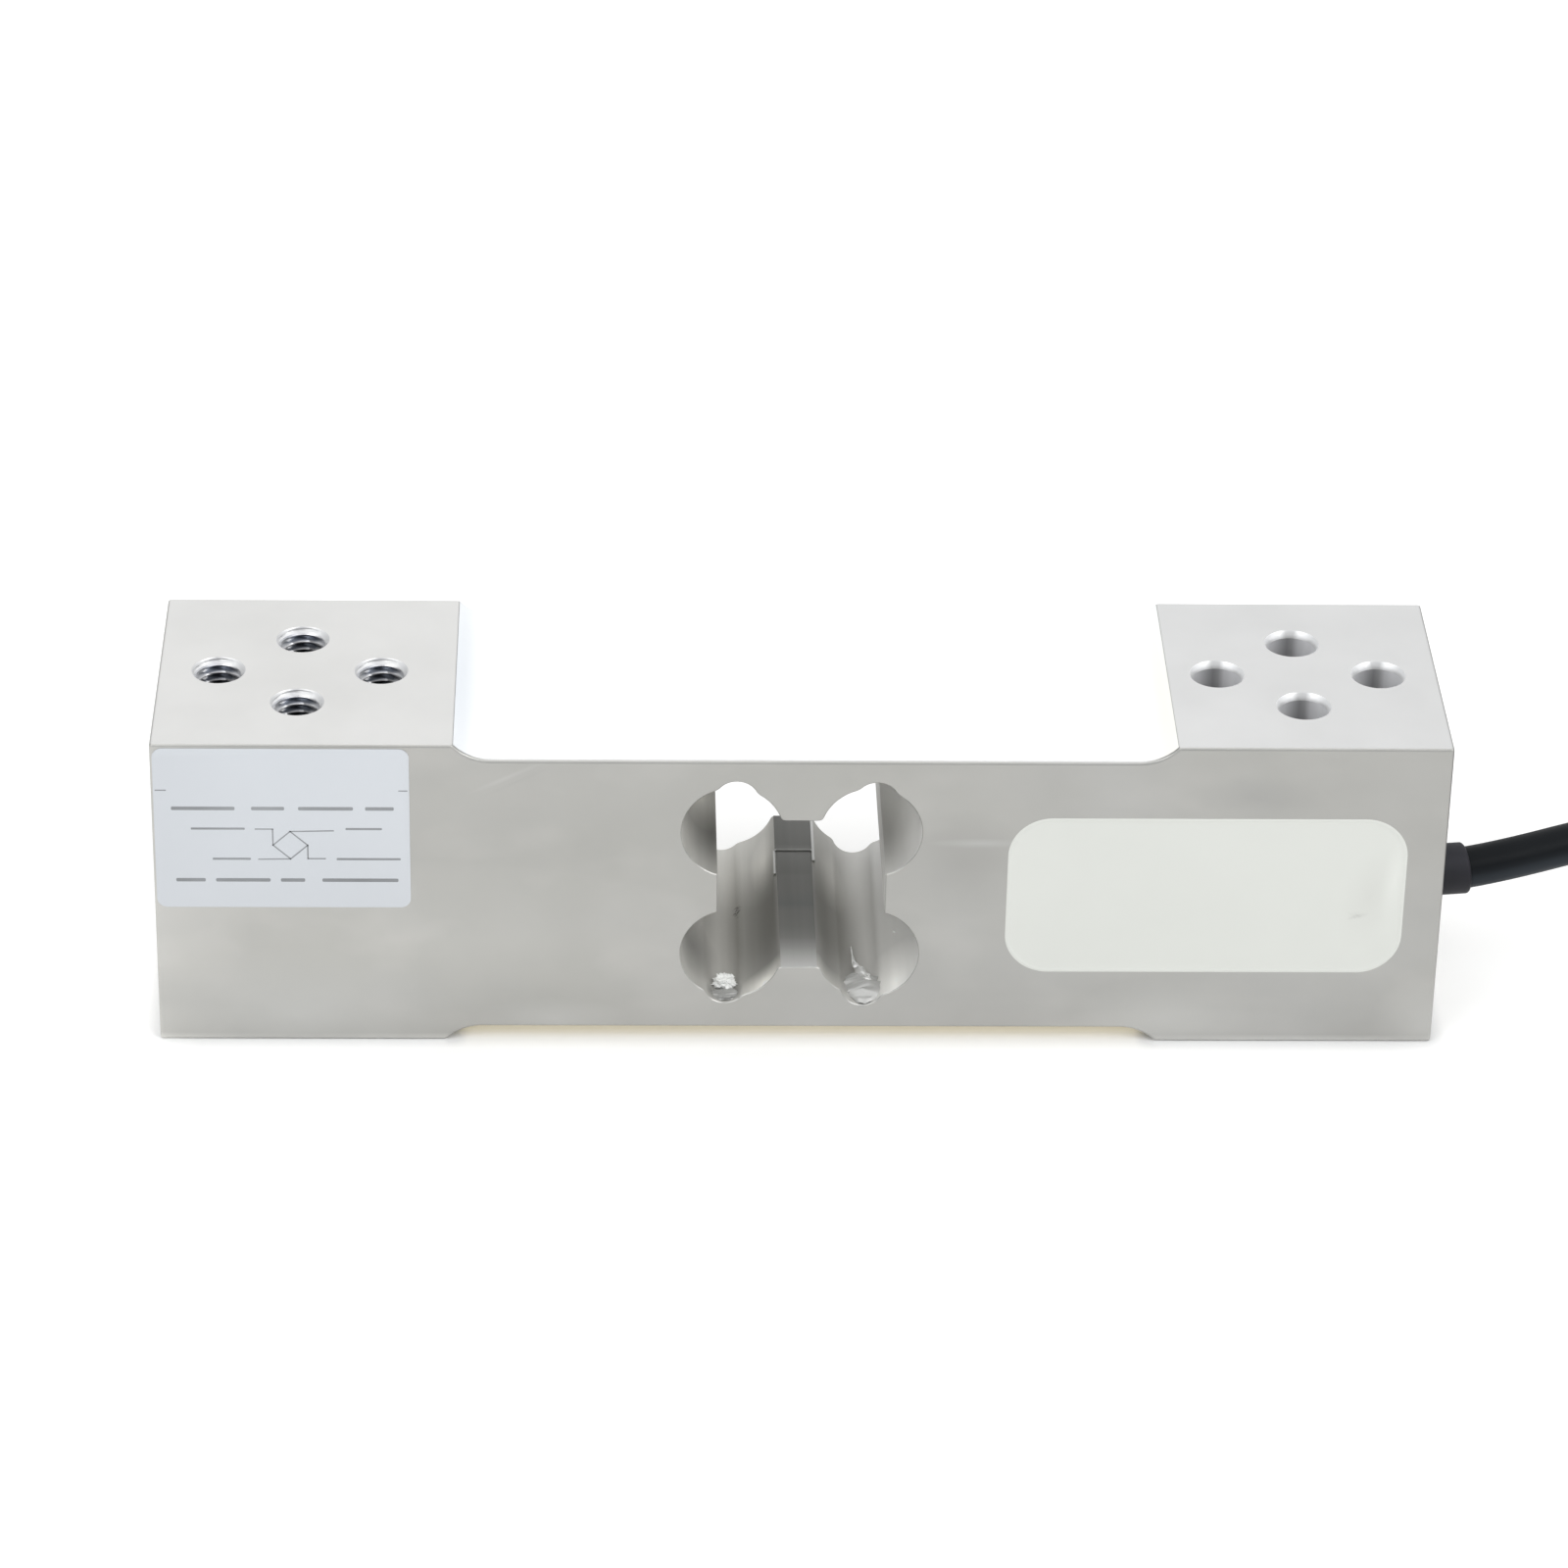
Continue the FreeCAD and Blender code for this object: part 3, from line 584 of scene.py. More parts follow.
cu = bpy.data.curves.new("cable_line", "CURVE")
cu.dimensions = "3D"
sp = cu.splines.new("NURBS")
sp.points.add(len(points) - 1)
for q, p in zip(sp.points, points):
    q.co = (*(p * MM), 1.0)
sp.order_u = 3
sp.use_endpoint_u = True
cu.resolution_u = 8
cu.bevel_depth = CABLE_R * MM
cu.bevel_resolution = 6
cu.use_fill_caps = True
cu.materials.append(MAT["jacket"])
cable = bpy.data.objects.new("cable_line", cu)
scene.collection.objects.link(cable)
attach(cable, "root")
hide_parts("cable", "cable_hank", "cable_tail")

# ------------------------------------------------------------------ pieces along a line
def curve_points(obj):
    """The points of a curve object's own spline, in mm, read with no bevel."""
    c = obj.data.copy()
    c.bevel_depth = 0.0
    o = bpy.data.objects.new("tmp", c)
    scene.collection.objects.link(o)
    bpy.context.view_layer.update()
    me = bpy.data.meshes.new_from_object(o.evaluated_get(bpy.context.evaluated_depsgraph_get()))
    pts = [v.co.copy() / MM for v in me.vertices]
    bpy.data.meshes.remove(me)
    bpy.data.objects.remove(o)
    bpy.data.curves.remove(c)
    return pts


def nurbs(name, pts, resolution=8):
    c = bpy.data.curves.new(name, "CURVE")
    c.dimensions = "3D"
    sp = c.splines.new("NURBS")
    sp.points.add(len(pts) - 1)
    for q, p in zip(sp.points, pts):
        q.co = (*(Vector(p) * MM), 1.0)
    sp.order_u = 3
    sp.use_endpoint_u = True
    c.resolution_u = resolution
    o = bpy.data.objects.new(name, c)
    return o


def line_of(pts, resolution=8):
    o = nurbs("tmp_line", pts, resolution)
    got = curve_points(o)
    c = o.data
    bpy.data.objects.remove(o)
    bpy.data.curves.remove(c)
    return got


def at_length(pts, d):
    """Point and direction d mm along a polyline."""
    for a, b in zip(pts, pts[1:]):
        l = (b - a).length
        if d <= l or b is pts[-1]:
            return a.lerp(b, d / l if l else 0), (b - a).normalized()
        d -= l


def total(pts):
    return sum((b - a).length for a, b in zip(pts, pts[1:]))


def sweep(name, pts, profile, seg=32, close=True, ripple=None):
    """A tube along pts. profile is a list of (distance along, radius, material)."""
    verts, faces, mats = [], [], []
    ref = None
    for d, r, _ in profile:
        p, t = at_length(pts, d)
        if ref is None:
            ref = Vector((0, 0, 1)) if abs(t.z) < 0.9 else Vector((1, 0, 0))
        n = (ref - t * ref.dot(t)).normalized()
        ref = n
        bn = t.cross(n)
        for k in range(seg):
            a = 2 * math.pi * k / seg
            rr = r + (ripple(d, a) if ripple else 0.0)
            verts.append(p + (n * math.cos(a) + bn * math.sin(a)) * rr)
    for i in range(len(profile) - 1):
        for k in range(seg):
            a, b = i * seg + k, i * seg + (k + 1) % seg
            faces.append((a, b, b + seg, a + seg))
            mats.append(profile[i][2])
    if close:
        faces.append(tuple(reversed(range(seg))))
        mats.append(profile[0][2])
        faces.append(tuple((len(profile) - 1) * seg + k for k in range(seg)))
        mats.append(profile[-2][2])
    me = mesh_of(name, verts, faces)
    me.polygons.foreach_set("material_index", mats)
    bm = bmesh.new()
    bm.from_mesh(me)
    bmesh.ops.recalc_face_normals(bm, faces=bm.faces)
    bm.to_mesh(me)
    bm.free()
    smooth(me, 40)
    return me


def annular(name, pts, outer, inner_r, seg=64):
    """A sleeve along pts: outer profile (distance, radius), then back inside at inner_r."""
    verts, faces = [], []
    prof = list(outer) + [(outer[-1][0], inner_r), (outer[0][0], inner_r)]
    ref = Vector((0, 0, 1))
    for d, r in prof:
        p, t = at_length(pts, d)
        n = (ref - t * ref.dot(t)).normalized()
        bn = t.cross(n)
        for k in range(seg):
            a = 2 * math.pi * k / seg
            verts.append(p + (n * math.cos(a) + bn * math.sin(a)) * r)
    m = len(prof)
    for i in range(m):
        j = (i + 1) % m
        for k in range(seg):
            kk = (k + 1) % seg
            faces.append((i * seg + k, i * seg + kk, j * seg + kk, j * seg + k))
    me = mesh_of(name, verts, faces)
    bm = bmesh.new()
    bm.from_mesh(me)
    bmesh.ops.recalc_face_normals(bm, faces=bm.faces)
    bm.to_mesh(me)
    bm.free()
    smooth(me, 45)
    return me


cable_pts = curve_points(cable)

# collar: a moulded sleeve on the cable where it leaves the end face
edge = 0.45
outer = [(70.45 - 64.5, 3.05), (78.45 - 64.5 - edge, 3.05)]
for q in range(1, 7):
    a = math.radians(15 * q)
    outer.append((78.45 - 64.5 - edge + edge * math.sin(a), 3.05 - edge + edge * math.cos(a)))
collar = link("collar_sleeve", annular("collar_sleeve", cable_pts, outer, 2.48), MAT["collar"])
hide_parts("cable_collar")

# the cable's far end: five conductors fan out of the cut jacket onto the floor
ux, uy = 10.0 / math.hypot(10, 1.7), 1.7 / math.hypot(10, 1.7)
U, N, Z = Vector((ux, uy, 0)), Vector((-uy, ux, 0)), Vector((0, 0, 1))
ends = {
    "red": (1.1, (0.85, -0.5), [(172.0, -0.6, 0.95), (180.0, 1.2, 0.62), (188.0, 4.9, 0.6)]),
    "black": (1.1, (-0.2, -1.1), [(172.5, -2.2, 0.9), (181.0, -2.6, 0.62), (190.0, -1.6, 0.6)]),
    "green": (1.1, (-1.2, -0.4), [(172.0, -4.1, 0.95), (179.0, -5.2, 0.62), (186.5, -4.9, 0.6)]),
    "white": (1.1, (0.75, 0.85), [(171.5, 0.6, 1.8), (176.0, 4.4, 0.72), (181.0, 9.6, 0.68)]),
    "drain": (0.8, (-0.7, 0.95), [(171.0, -3.3, 1.9), (175.0, -0.4, 2.2), (181.0, 6.0, 0.45)]),
}
for colour, (d, (s0, s1), pts) in ends.items():
    p0 = Vector((165.0, -3.2, 2.55)) + N * s0 + Z * s1 - U * 0.6
    line = line_of([p0, p0 + U * 3.8] + [Vector(p) for p in pts], 10)
    full = total(line)
    r = d / 2
    if colour == "drain":
        n = 160
        prof = [(full * i / n, r * 0.93, 0) for i in range(n + 1)]
        # seven tinned strands laid together: their ridges wind round the wire
        me = sweep("lead_drain", line, prof, 28, True, lambda q, a: 0.035 * math.cos(7 * (a + q * 0.9)))
        o = link("lead_drain", me, MAT["tinned"])
        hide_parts("shield_drain")
    else:
        cut = full - 5.0
        n = 60
        prof = [(cut * i / n, r, 0) for i in range(n + 1)]
        prof += [(cut + 0.04, r - 0.06, 0), (cut + 0.05, 0.33, 1)]
        prof += [(cut + 0.05 + (full - cut - 0.3) * i / 24, 0.33, 1) for i in range(1, 25)]
        prof += [(full - 0.12, 0.28, 1), (full - 0.02, 0.16, 1)]
        f = lambda q, a, c=cut: 0.03 * math.cos(7 * (a + q * 1.4)) if q > c + 0.05 else 0.0
        me = sweep("lead_" + colour, line, prof, 28, True, f)
        o = link("lead_" + colour, me, MAT[colour])
        me.materials.append(MAT["tinned"])
        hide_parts("far_lead_" + colour)

# cotton filler round the conductors in the cut jacket's mouth
mouth = line_of([Vector((160.0, -4.05, 2.55)), Vector((165.0, -3.2, 2.52)), Vector((165.6, -3.1, 2.5))], 6)
me = sweep("jacket_filler", mouth, [(4.4, 2.0, 0), (5.1, 2.0, 0), (5.35, 1.75, 0), (5.45, 0.6, 0)], 40, True,
           lambda q, a: 0.10 * math.sin(5 * a + q) + 0.06 * math.sin(13 * a))
o = link("jacket_filler", me, MAT["filler"])


# ------------------------------------------------------------------ ties
def strap(name, x, loop_pts, width, thick):
    """A flat nylon strap round a bundle: a ribbon with thickness and rounded edges."""
    verts, faces = [], []
    n = len(loop_pts)
    cross = [(-width / 2, 0.12), (-width / 2 + 0.25, 0.0), (width / 2 - 0.25, 0.0), (width / 2, 0.12),
             (width / 2, thick - 0.12), (width / 2 - 0.25, thick), (-width / 2 + 0.25, thick), (-width / 2, thick - 0.12)]
    for i, (y, z) in enumerate(loop_pts):
        a, b = loop_pts[i - 1], loop_pts[(i + 1) % n]
        t = Vector((0, b[0] - a[0], b[1] - a[1])).normalized()
        nn = Vector((0, t.z, -t.y))
        for w, d in cross:
            verts.append(Vector((x + w, y, z)) + nn * d)
    m = len(cross)
    for i in range(n):
        j = (i + 1) % n
        for k in range(m):
            kk = (k + 1) % m
            faces.append((i * m + k, i * m + kk, j * m + kk, j * m + k))
    return verts, faces


def pulled_tight(corners, r=1.2, seg=5):
    """Corners (y, z) of a closed loop joined by small arcs, for a strap pulled tight."""
    out = []
    n = len(corners)
    for i in range(n):
        a, p, b = Vector(corners[i - 1]), Vector(corners[i]), Vector(corners[(i + 1) % n])
        u, v = (a - p).normalized(), (b - p).normalized()
        t = min(r, 0.45 * (a - p).length, 0.45 * (b - p).length)
        for k in range(seg + 1):
            f = k / seg
            out.append((p + u * t) * (1 - f) ** 2 + p * 2 * f * (1 - f) + (p + v * t) * f ** 2)
    return [tuple(p) for p in out]


def box_verts(x0, x1, y0, y1, z0, z1, c=0.3):
    """A box with cut edges, as a small closed mesh."""
    bm = bmesh.new()
    bmesh.ops.create_cube(bm, size=1.0)
    for v in bm.verts:
        v.co = Vector(((x0 + x1) / 2 + v.co.x * (x1 - x0), (y0 + y1) / 2 + v.co.y * (y1 - y0), (z0 + z1) / 2 + v.co.z * (z1 - z0)))
    bmesh.ops.bevel(bm, geom=list(bm.edges), offset=c, segments=3, profile=0.6, affect="EDGES")
    vs = [v.co.copy() for v in bm.verts]
    fs = [[v.index for v in f.verts] for f in bm.faces]
    bm.verts.index_update()
    fs = [[v.index for v in f.verts] for f in bm.faces]
    bm.free()
    return vs, fs


def join_parts(name, parts):
    verts, faces = [], []
    for vs, fs in parts:
        n = len(verts)
        verts += [Vector(v) for v in vs]
        faces += [[i + n for i in f] for f in fs]
    me = mesh_of(name, verts, faces)
    bm = bmesh.new()
    bm.from_mesh(me)
    bmesh.ops.recalc_face_normals(bm, faces=bm.faces)
    bm.to_mesh(me)
    bm.free()
    smooth(me, 38)
    return me


HTOP = LZ[2] + 2.55
TOPZ = HTOP + 5.0
a0, a1 = CY - RO - 2.5, CY - RI + 2.5
b0, b1 = CY + RI - 2.5, CY + RO + 2.5
front = pulled_tight([(a0 - 0.02, 0.7), (a0 - 0.02, TOPZ - 1.0), (a0 + 1.2, TOPZ + 0.02), (a0 + 4.6, TOPZ + 0.02), (a1 + 0.02, HTOP + 0.1), (a1 + 0.02, 0.7)])
head_f = box_verts(TIE_FRONT - 3.0, TIE_FRONT + 3.0, a0 + 0.6, a0 + 4.4, TOPZ + 0.3, TOPZ + 3.7, 0.35)
tail_f = box_verts(TIE_FRONT - 2.2, TIE_FRONT + 2.2, a0 + 1.9, a0 + 2.8, TOPZ + 3.4, TOPZ + 3.95, 0.1)
back_l = pulled_tight([(b0 - 0.02, 0.7), (b0 - 0.02, HTOP), (b1 + 0.02, HTOP), (b1 + 0.02, 0.7)], 1.6)
head_b = box_verts(TIE_BACK - 3.0, TIE_BACK + 3.0, b1 - 4.4, b1 - 0.6, HTOP + 0.3, HTOP + 3.7, 0.35)
tail_b = box_verts(TIE_BACK - 2.2, TIE_BACK + 2.2, b1 - 2.8, b1 - 1.9, HTOP + 3.4, HTOP + 3.95, 0.1)
ribs = []
for x, y, z in ((TIE_FRONT, a0 + 2.5, TOPZ + 3.68), (TIE_BACK, b1 - 2.5, HTOP + 3.68)):
    for i in range(3):
        ribs.append(box_verts(x - 2.4, x + 2.4, y - 1.5 + i * 1.2, y - 1.1 + i * 1.2, z - 0.1, z + 0.08, 0.04))
me = join_parts(
    "bundle_ties",
    [strap("f", TIE_FRONT, front, 4.8, 0.7), head_f, tail_f, strap("b", TIE_BACK, back_l, 4.8, 0.7), head_b, tail_b] + ribs,
)
ties = link("bundle_ties", me, MAT["tie"])
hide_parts("hank_ties")

print("cable length mm", round(total(cable_pts), 1), "points", len(points))

# ------------------------------------------------------------------ spring element
L, W, H = 150.0, 35.0, 40.0
TOP_A, TOP_B, BOT_A, BOT_B = 34.7 - 75, 118.2 - 75, 33.6 - 75, 117.2 - 75
TOP_D, BOT_D, REC_R = 2.0, 1.85, 6.0
YF = -W / 2


def arc_pts(cx, cz, r, a0, a1, n):
    return [(cx + r * math.cos(math.radians(a0 + (a1 - a0) * k / n)), cz + r * math.sin(math.radians(a0 + (a1 - a0) * k / n))) for k in range(n + 1)]


def eased(corners, n=4):
    """Sharp corners of an outline given a small radius: (x, z, radius or 0)."""
    out = []
    m = len(corners)
    for i, (x, z, r) in enumerate(corners):
        if not r:
            out.append((x, z))
            continue
        p = Vector((x, z))
        u = (Vector(corners[i - 1][:2]) - p).normalized()
        v = (Vector(corners[(i + 1) % m][:2]) - p).normalized()
        for k in range(n + 1):
            f = k / n
            q = (p + u * r) * (1 - f) ** 2 + p * 2 * f * (1 - f) + (p + v * r) * f ** 2
            out.append((q.x, q.y))
    return out


def recess_arc(x, zf, zo, side):
    """Points from the recess floor out to the end block's face; side is +1 at the right end."""
    s = 1 if zo > zf else -1
    d = abs(zo - zf)
    end = math.acos((REC_R - d) / REC_R)
    run = REC_R * math.sin(end)
    xc, zc = x - side * run, zf + s * REC_R
    return [(xc + side * REC_R * math.sin(end * k / 14), zc - s * REC_R * math.cos(end * k / 14)) for k in range(15)]


def outline(inset=0.0):
    e = 0.42
    pts = [(-75, 0, e)]
    a = recess_arc(BOT_A, BOT_D, 0.0, -1)[::-1]
    pts += [(a[0][0], a[0][1], 0.22)] + [(x, z, 0) for x, z in a[1:]]
    a = recess_arc(BOT_B, BOT_D, 0.0, 1)
    pts += [(x, z, 0) for x, z in a[:-1]] + [(a[-1][0], a[-1][1], 0.22)]
    pts += [(75, 0, e), (75, H, e)]
    a = recess_arc(TOP_B, H - TOP_D, H, 1)[::-1]
    pts += [(a[0][0], a[0][1], 0.22)] + [(x, z, 0) for x, z in a[1:]]
    a = recess_arc(TOP_A, H - TOP_D, H, -1)
    pts += [(x, z, 0) for x, z in a[:-1]] + [(a[-1][0], a[-1][1], 0.22)]
    pts += [(-75, H, e)]
    if inset:
        moved = shifted([(x, z) for x, z, _ in pts], inset)
        pts = [(x, z, max(0.04, r - inset) if r else 0) for (x, z), (_, _, r) in zip(moved, pts)]
    return eased(pts)


def shifted(poly, d):
    """An outline moved d mm towards its inside (counter-clockwise outline)."""
    out = []
    n = len(poly)
    for i in range(n):
        a, p, b = Vector(poly[i - 1]), Vector(poly[i]), Vector(poly[(i + 1) % n])
        u, v = (p - a).normalized(), (b - p).normalized()
        nu, nv = Vector((-u.y, u.x)), Vector((-v.y, v.x))
        nn = (nu + nv).normalized()
        out.append(tuple(p + nn * (d / max(0.5, nn.dot(nu)))))
    return out


def loft_y(poly, rings):
    """Stack an outline along Y: rings of (y, inset). Closed with a face at each end."""
    verts, faces = [], []
    n = len(poly() if callable(poly) else poly)
    for y, d in rings:
        ring = poly(d) if callable(poly) else shifted(poly, d) if abs(d) > 1e-9 else poly
        for x, z in ring:
            verts.append((x, y, z))
    for k in range(len(rings) - 1):
        for i in range(n):
            j = (i + 1) % n
            faces.append((k * n + i, k * n + j, (k + 1) * n + j, (k + 1) * n + i))
    faces.append(tuple(range(n))[::-1])
    faces.append(tuple((len(rings) - 1) * n + i for i in range(n)))
    return verts, faces


def temp(name, verts, faces):
    me = mesh_of(name, verts, faces)
    me.transform(Matrix.Scale(1000.0, 4))  # cut at a thousand times the size, where the solver is exact
    bm = bmesh.new()
    bm.from_mesh(me)
    bmesh.ops.recalc_face_normals(bm, faces=bm.faces)
    bm.to_mesh(me)
    bm.free()
    o = bpy.data.objects.new(name, me)
    scene.collection.objects.link(o)
    return o


def cut(obj, cutters, how="DIFFERENCE"):
    """Take each cutter out of obj, or add it, and drop the cutter."""
    for c in cutters:
        md = obj.modifiers.new("cut", "BOOLEAN")
        md.operation = how
        md.solver = "EXACT"
        md.object = c
        bpy.context.view_layer.update()
        me = bpy.data.meshes.new_from_object(obj.evaluated_get(bpy.context.evaluated_depsgraph_get()))
        obj.modifiers.clear()
        old = obj.data
        obj.data = me
        bpy.data.meshes.remove(old)
        cm = c.data
        bpy.data.objects.remove(c)
        bpy.data.meshes.remove(cm)


edge_e = 0.42
quarter = [(edge_e * (1 - math.cos(math.radians(22.5 * k))), edge_e * (1 - math.sin(math.radians(22.5 * k)))) for k in range(5)]
rings = [(YF + a, b) for a, b in quarter] + [(-YF - a, b) for a, b in quarter[::-1]]
element = temp("element", *loft_y(outline, rings))

# the cut-out: a slot with four lobes and a groove over each thin section
PRIMS = [
    ("c", -8.05, 28.5, 5.9), ("c", 8.05, 28.5, 5.9), ("c", -8.05, 12.05, 5.9), ("c", 8.05, 12.05, 5.9),
    ("c", -7.6, 32.7, 2.6), ("c", 8.6, 32.6, 2.6), ("c", -8.65, 7.8, 2.5), ("c", 7.5, 7.5, 2.5),
    ("b", -9.7, 9.85, 10.2, 30.1),
]


def inside(pr, x, z, eps=1e-6):
    if pr[0] == "c":
        return math.hypot(x - pr[1], z - pr[2]) < pr[3] - eps
    return pr[1] + eps < x < pr[2] - eps and pr[3] + eps < z < pr[4] - eps


def cutout_outline():
    """The union of the primitives as one outline, by its arcs' and edges' outer stretches."""
    pieces = []
    for i, pr in enumerate(PRIMS):
        others = [q for j, q in enumerate(PRIMS) if j != i]
        if pr[0] == "c":
            _, cx, cz, r = pr
            cuts_at = []
            for q in others:
                if q[0] == "c":
                    d = math.hypot(q[1] - cx, q[2] - cz)
                    if d >= r + q[3] or d <= abs(r - q[3]):
                        continue
                    base = math.atan2(q[2] - cz, q[1] - cx)
                    off = math.acos((d * d + r * r - q[3] ** 2) / (2 * d * r))
                    cuts_at += [base - off, base + off]
                else:
                    for xx in q[1:3]:
                        if abs(xx - cx) < r:
                            off = math.acos((xx - cx) / r)
                            cuts_at += [off, -off]
                    for zz in q[3:5]:
                        if abs(zz - cz) < r:
                            off = math.asin((zz - cz) / r)
                            cuts_at += [off, math.pi - off]
            cuts_at = sorted(a % (2 * math.pi) for a in cuts_at)
            for a, b in zip(cuts_at, cuts_at[1:] + [cuts_at[0] + 2 * math.pi]):
                mid = (a + b) / 2
                if b - a > 1e-6 and not any(inside(q, cx + r * math.cos(mid), cz + r * math.sin(mid)) for q in others):
                    n = max(2, int((b - a) / math.radians(4.0)))
                    pieces.append([(cx + r * math.cos(a + (b - a) * k / n), cz + r * math.sin(a + (b - a) * k / n)) for k in range(n + 1)])
        else:
            _, x0, x1, z0, z1 = pr
            for p, q in (((x0, z0), (x1, z0)), ((x1, z0), (x1, z1)), ((x1, z1), (x0, z1)), ((x0, z1), (x0, z0))):
                ts = [0.0, 1.0]
                dx, dz = q[0] - p[0], q[1] - p[1]
                ll = math.hypot(dx, dz)
                for c in others:
                    t0 = ((c[1] - p[0]) * dx + (c[2] - p[1]) * dz) / (ll * ll)
                    dist = abs((c[1] - p[0]) * dz - (c[2] - p[1]) * dx) / ll
                    if dist < c[3]:
                        h = math.sqrt(c[3] ** 2 - dist ** 2) / ll
                        ts += [t0 - h, t0 + h]
                ts = sorted(t for t in ts if 0 <= t <= 1)
                for a, b in zip(ts, ts[1:]):
                    mid = (a + b) / 2
                    if b - a > 1e-6 and not any(inside(c, p[0] + dx * mid, p[1] + dz * mid) for c in others):
                        pieces.append([(p[0] + dx * t, p[1] + dz * t) for t in (a, b)])
    chain = pieces.pop(0)
    while pieces:
        e = chain[-1]
        best = min(range(len(pieces)), key=lambda k: min(math.dist(e, pieces[k][0]), math.dist(e, pieces[k][-1])))
        q = pieces.pop(best)
        if math.dist(e, q[-1]) < math.dist(e, q[0]):
            q = q[::-1]
        chain += q[1:]
    if math.dist(chain[0], chain[-1]) < 1e-4:
        chain.pop()
    area = sum(a[0] * b[1] - b[0] * a[1] for a, b in zip(chain, chain[1:] + chain[:1]))
    return chain if area > 0 else chain[::-1]


def soften(poly):
    """Round the cusps where the cutter's passes meet, and leave the slot's own corners crisp."""
    pts = [Vector(p) for p in poly]
    n = len(pts)
    run = [0.0]
    for i in range(n):
        run.append(run[-1] + (pts[(i + 1) % n] - pts[i]).length)
    whole = run[-1]

    def at(s_):
        s_ %= whole
        for i in range(n):
            if run[i] <= s_ <= run[i + 1]:
                f = (s_ - run[i]) / max(run[i + 1] - run[i], 1e-9)
                return pts[i].lerp(pts[(i + 1) % n], f)

    cusps = []
    for i in range(n):
        a_, p, b_ = pts[i - 1], pts[i], pts[(i + 1) % n]
        turn = (p - a_).angle(b_ - p) if (p - a_).length > 1e-6 and (b_ - p).length > 1e-6 else 0.0
        if math.degrees(turn) >= 14:
            slot_corner = abs(abs(p.x) - 9.75) < 0.2 and 17 < p.y < 23.5
            cusps.append((i, run[i], 0.14 if slot_corner else 0.55))
    out = []
    for i in range(n):
        hit = [c for c in cusps if c[0] == i]
        if hit:
            _, s_, d = hit[0]
            u, w = at(s_ - d), at(s_ + d)
            for k in range(7):
                f = k / 6
                out.append(u * (1 - f) ** 2 + pts[i] * 2 * f * (1 - f) + w * f ** 2)
            continue
        near = min((min(abs(run[i] - c[1]), whole - abs(run[i] - c[1])) - c[2] for c in cusps), default=9.0)
        if near > 0.03:
            out.append(pts[i])
    return [(p.x, p.y) for p in out]


opening = soften(cutout_outline())
BRK = 0.10  # the small edge break round the cut-out and the pocket
flare = [(YF - 0.6, -BRK), (YF, -BRK), (YF + BRK, 0.0), (-YF - BRK, 0.0), (-YF, -BRK), (-YF + 0.6, -BRK)]


def rounded_rect(x0, x1, z0, z1, r, n=16):
    return (
        arc_pts(x1 - r, z0 + r, r, -90, 0, n) + arc_pts(x1 - r, z1 - r, r, 0, 90, n)
        + arc_pts(x0 + r, z1 - r, r, 90, 180, n) + arc_pts(x0 + r, z0 + r, r, 180, 270, n)
    )


PK = (24.1, 70.4, 9.8, 30.5, 5.0)
pocket_line = rounded_rect(*PK)
pocket_cut = [(YF - 0.6, -BRK), (YF, -BRK), (YF + BRK, 0.0), (YF + 6.0, 0.0)]


def turned(axis_pt, axis, prof, seg=72, thread=None):
    """A closed surface of revolution: prof is (distance along the axis, radius).
    thread = (from, to, depth, pitch) cuts a helical V groove outwards between those distances."""
    ax = Vector(axis).normalized()
    e1 = Vector((1, 0, 0)) if abs(ax.x) < 0.9 else Vector((0, 1, 0))
    e1 = (e1 - ax * e1.dot(ax)).normalized()
    e2 = ax.cross(e1)
    verts, faces = [], []
    for d, r in prof:
        for k in range(seg):
            a = 2 * math.pi * k / seg
            rr = r
            if thread and thread[0] <= d <= thread[1]:
                ph = (d / thread[3] + k / seg) % 1.0
                tri = 1 - abs(2 * ph - 1)
                tri = min(1.0, max(0.0, (tri - 0.16) / 0.70))
                fade = step((d - thread[0]) / 0.7) * step((thread[1] - d) / 0.7)
                rr = max(rr, 2.5 + thread[2] * tri * fade)
            verts.append(Vector(axis_pt) + ax * d + (e1 * math.cos(a) + e2 * math.sin(a)) * rr)
    n = len(prof)
    for i in range(n - 1):
        for k in range(seg):
            kk = (k + 1) % seg
            faces.append((i * seg + k, i * seg + kk, (i + 1) * seg + kk, (i + 1) * seg + k))
    faces.append(tuple(range(seg))[::-1])
    faces.append(tuple((n - 1) * seg + k for k in range(seg)))
    return verts, faces


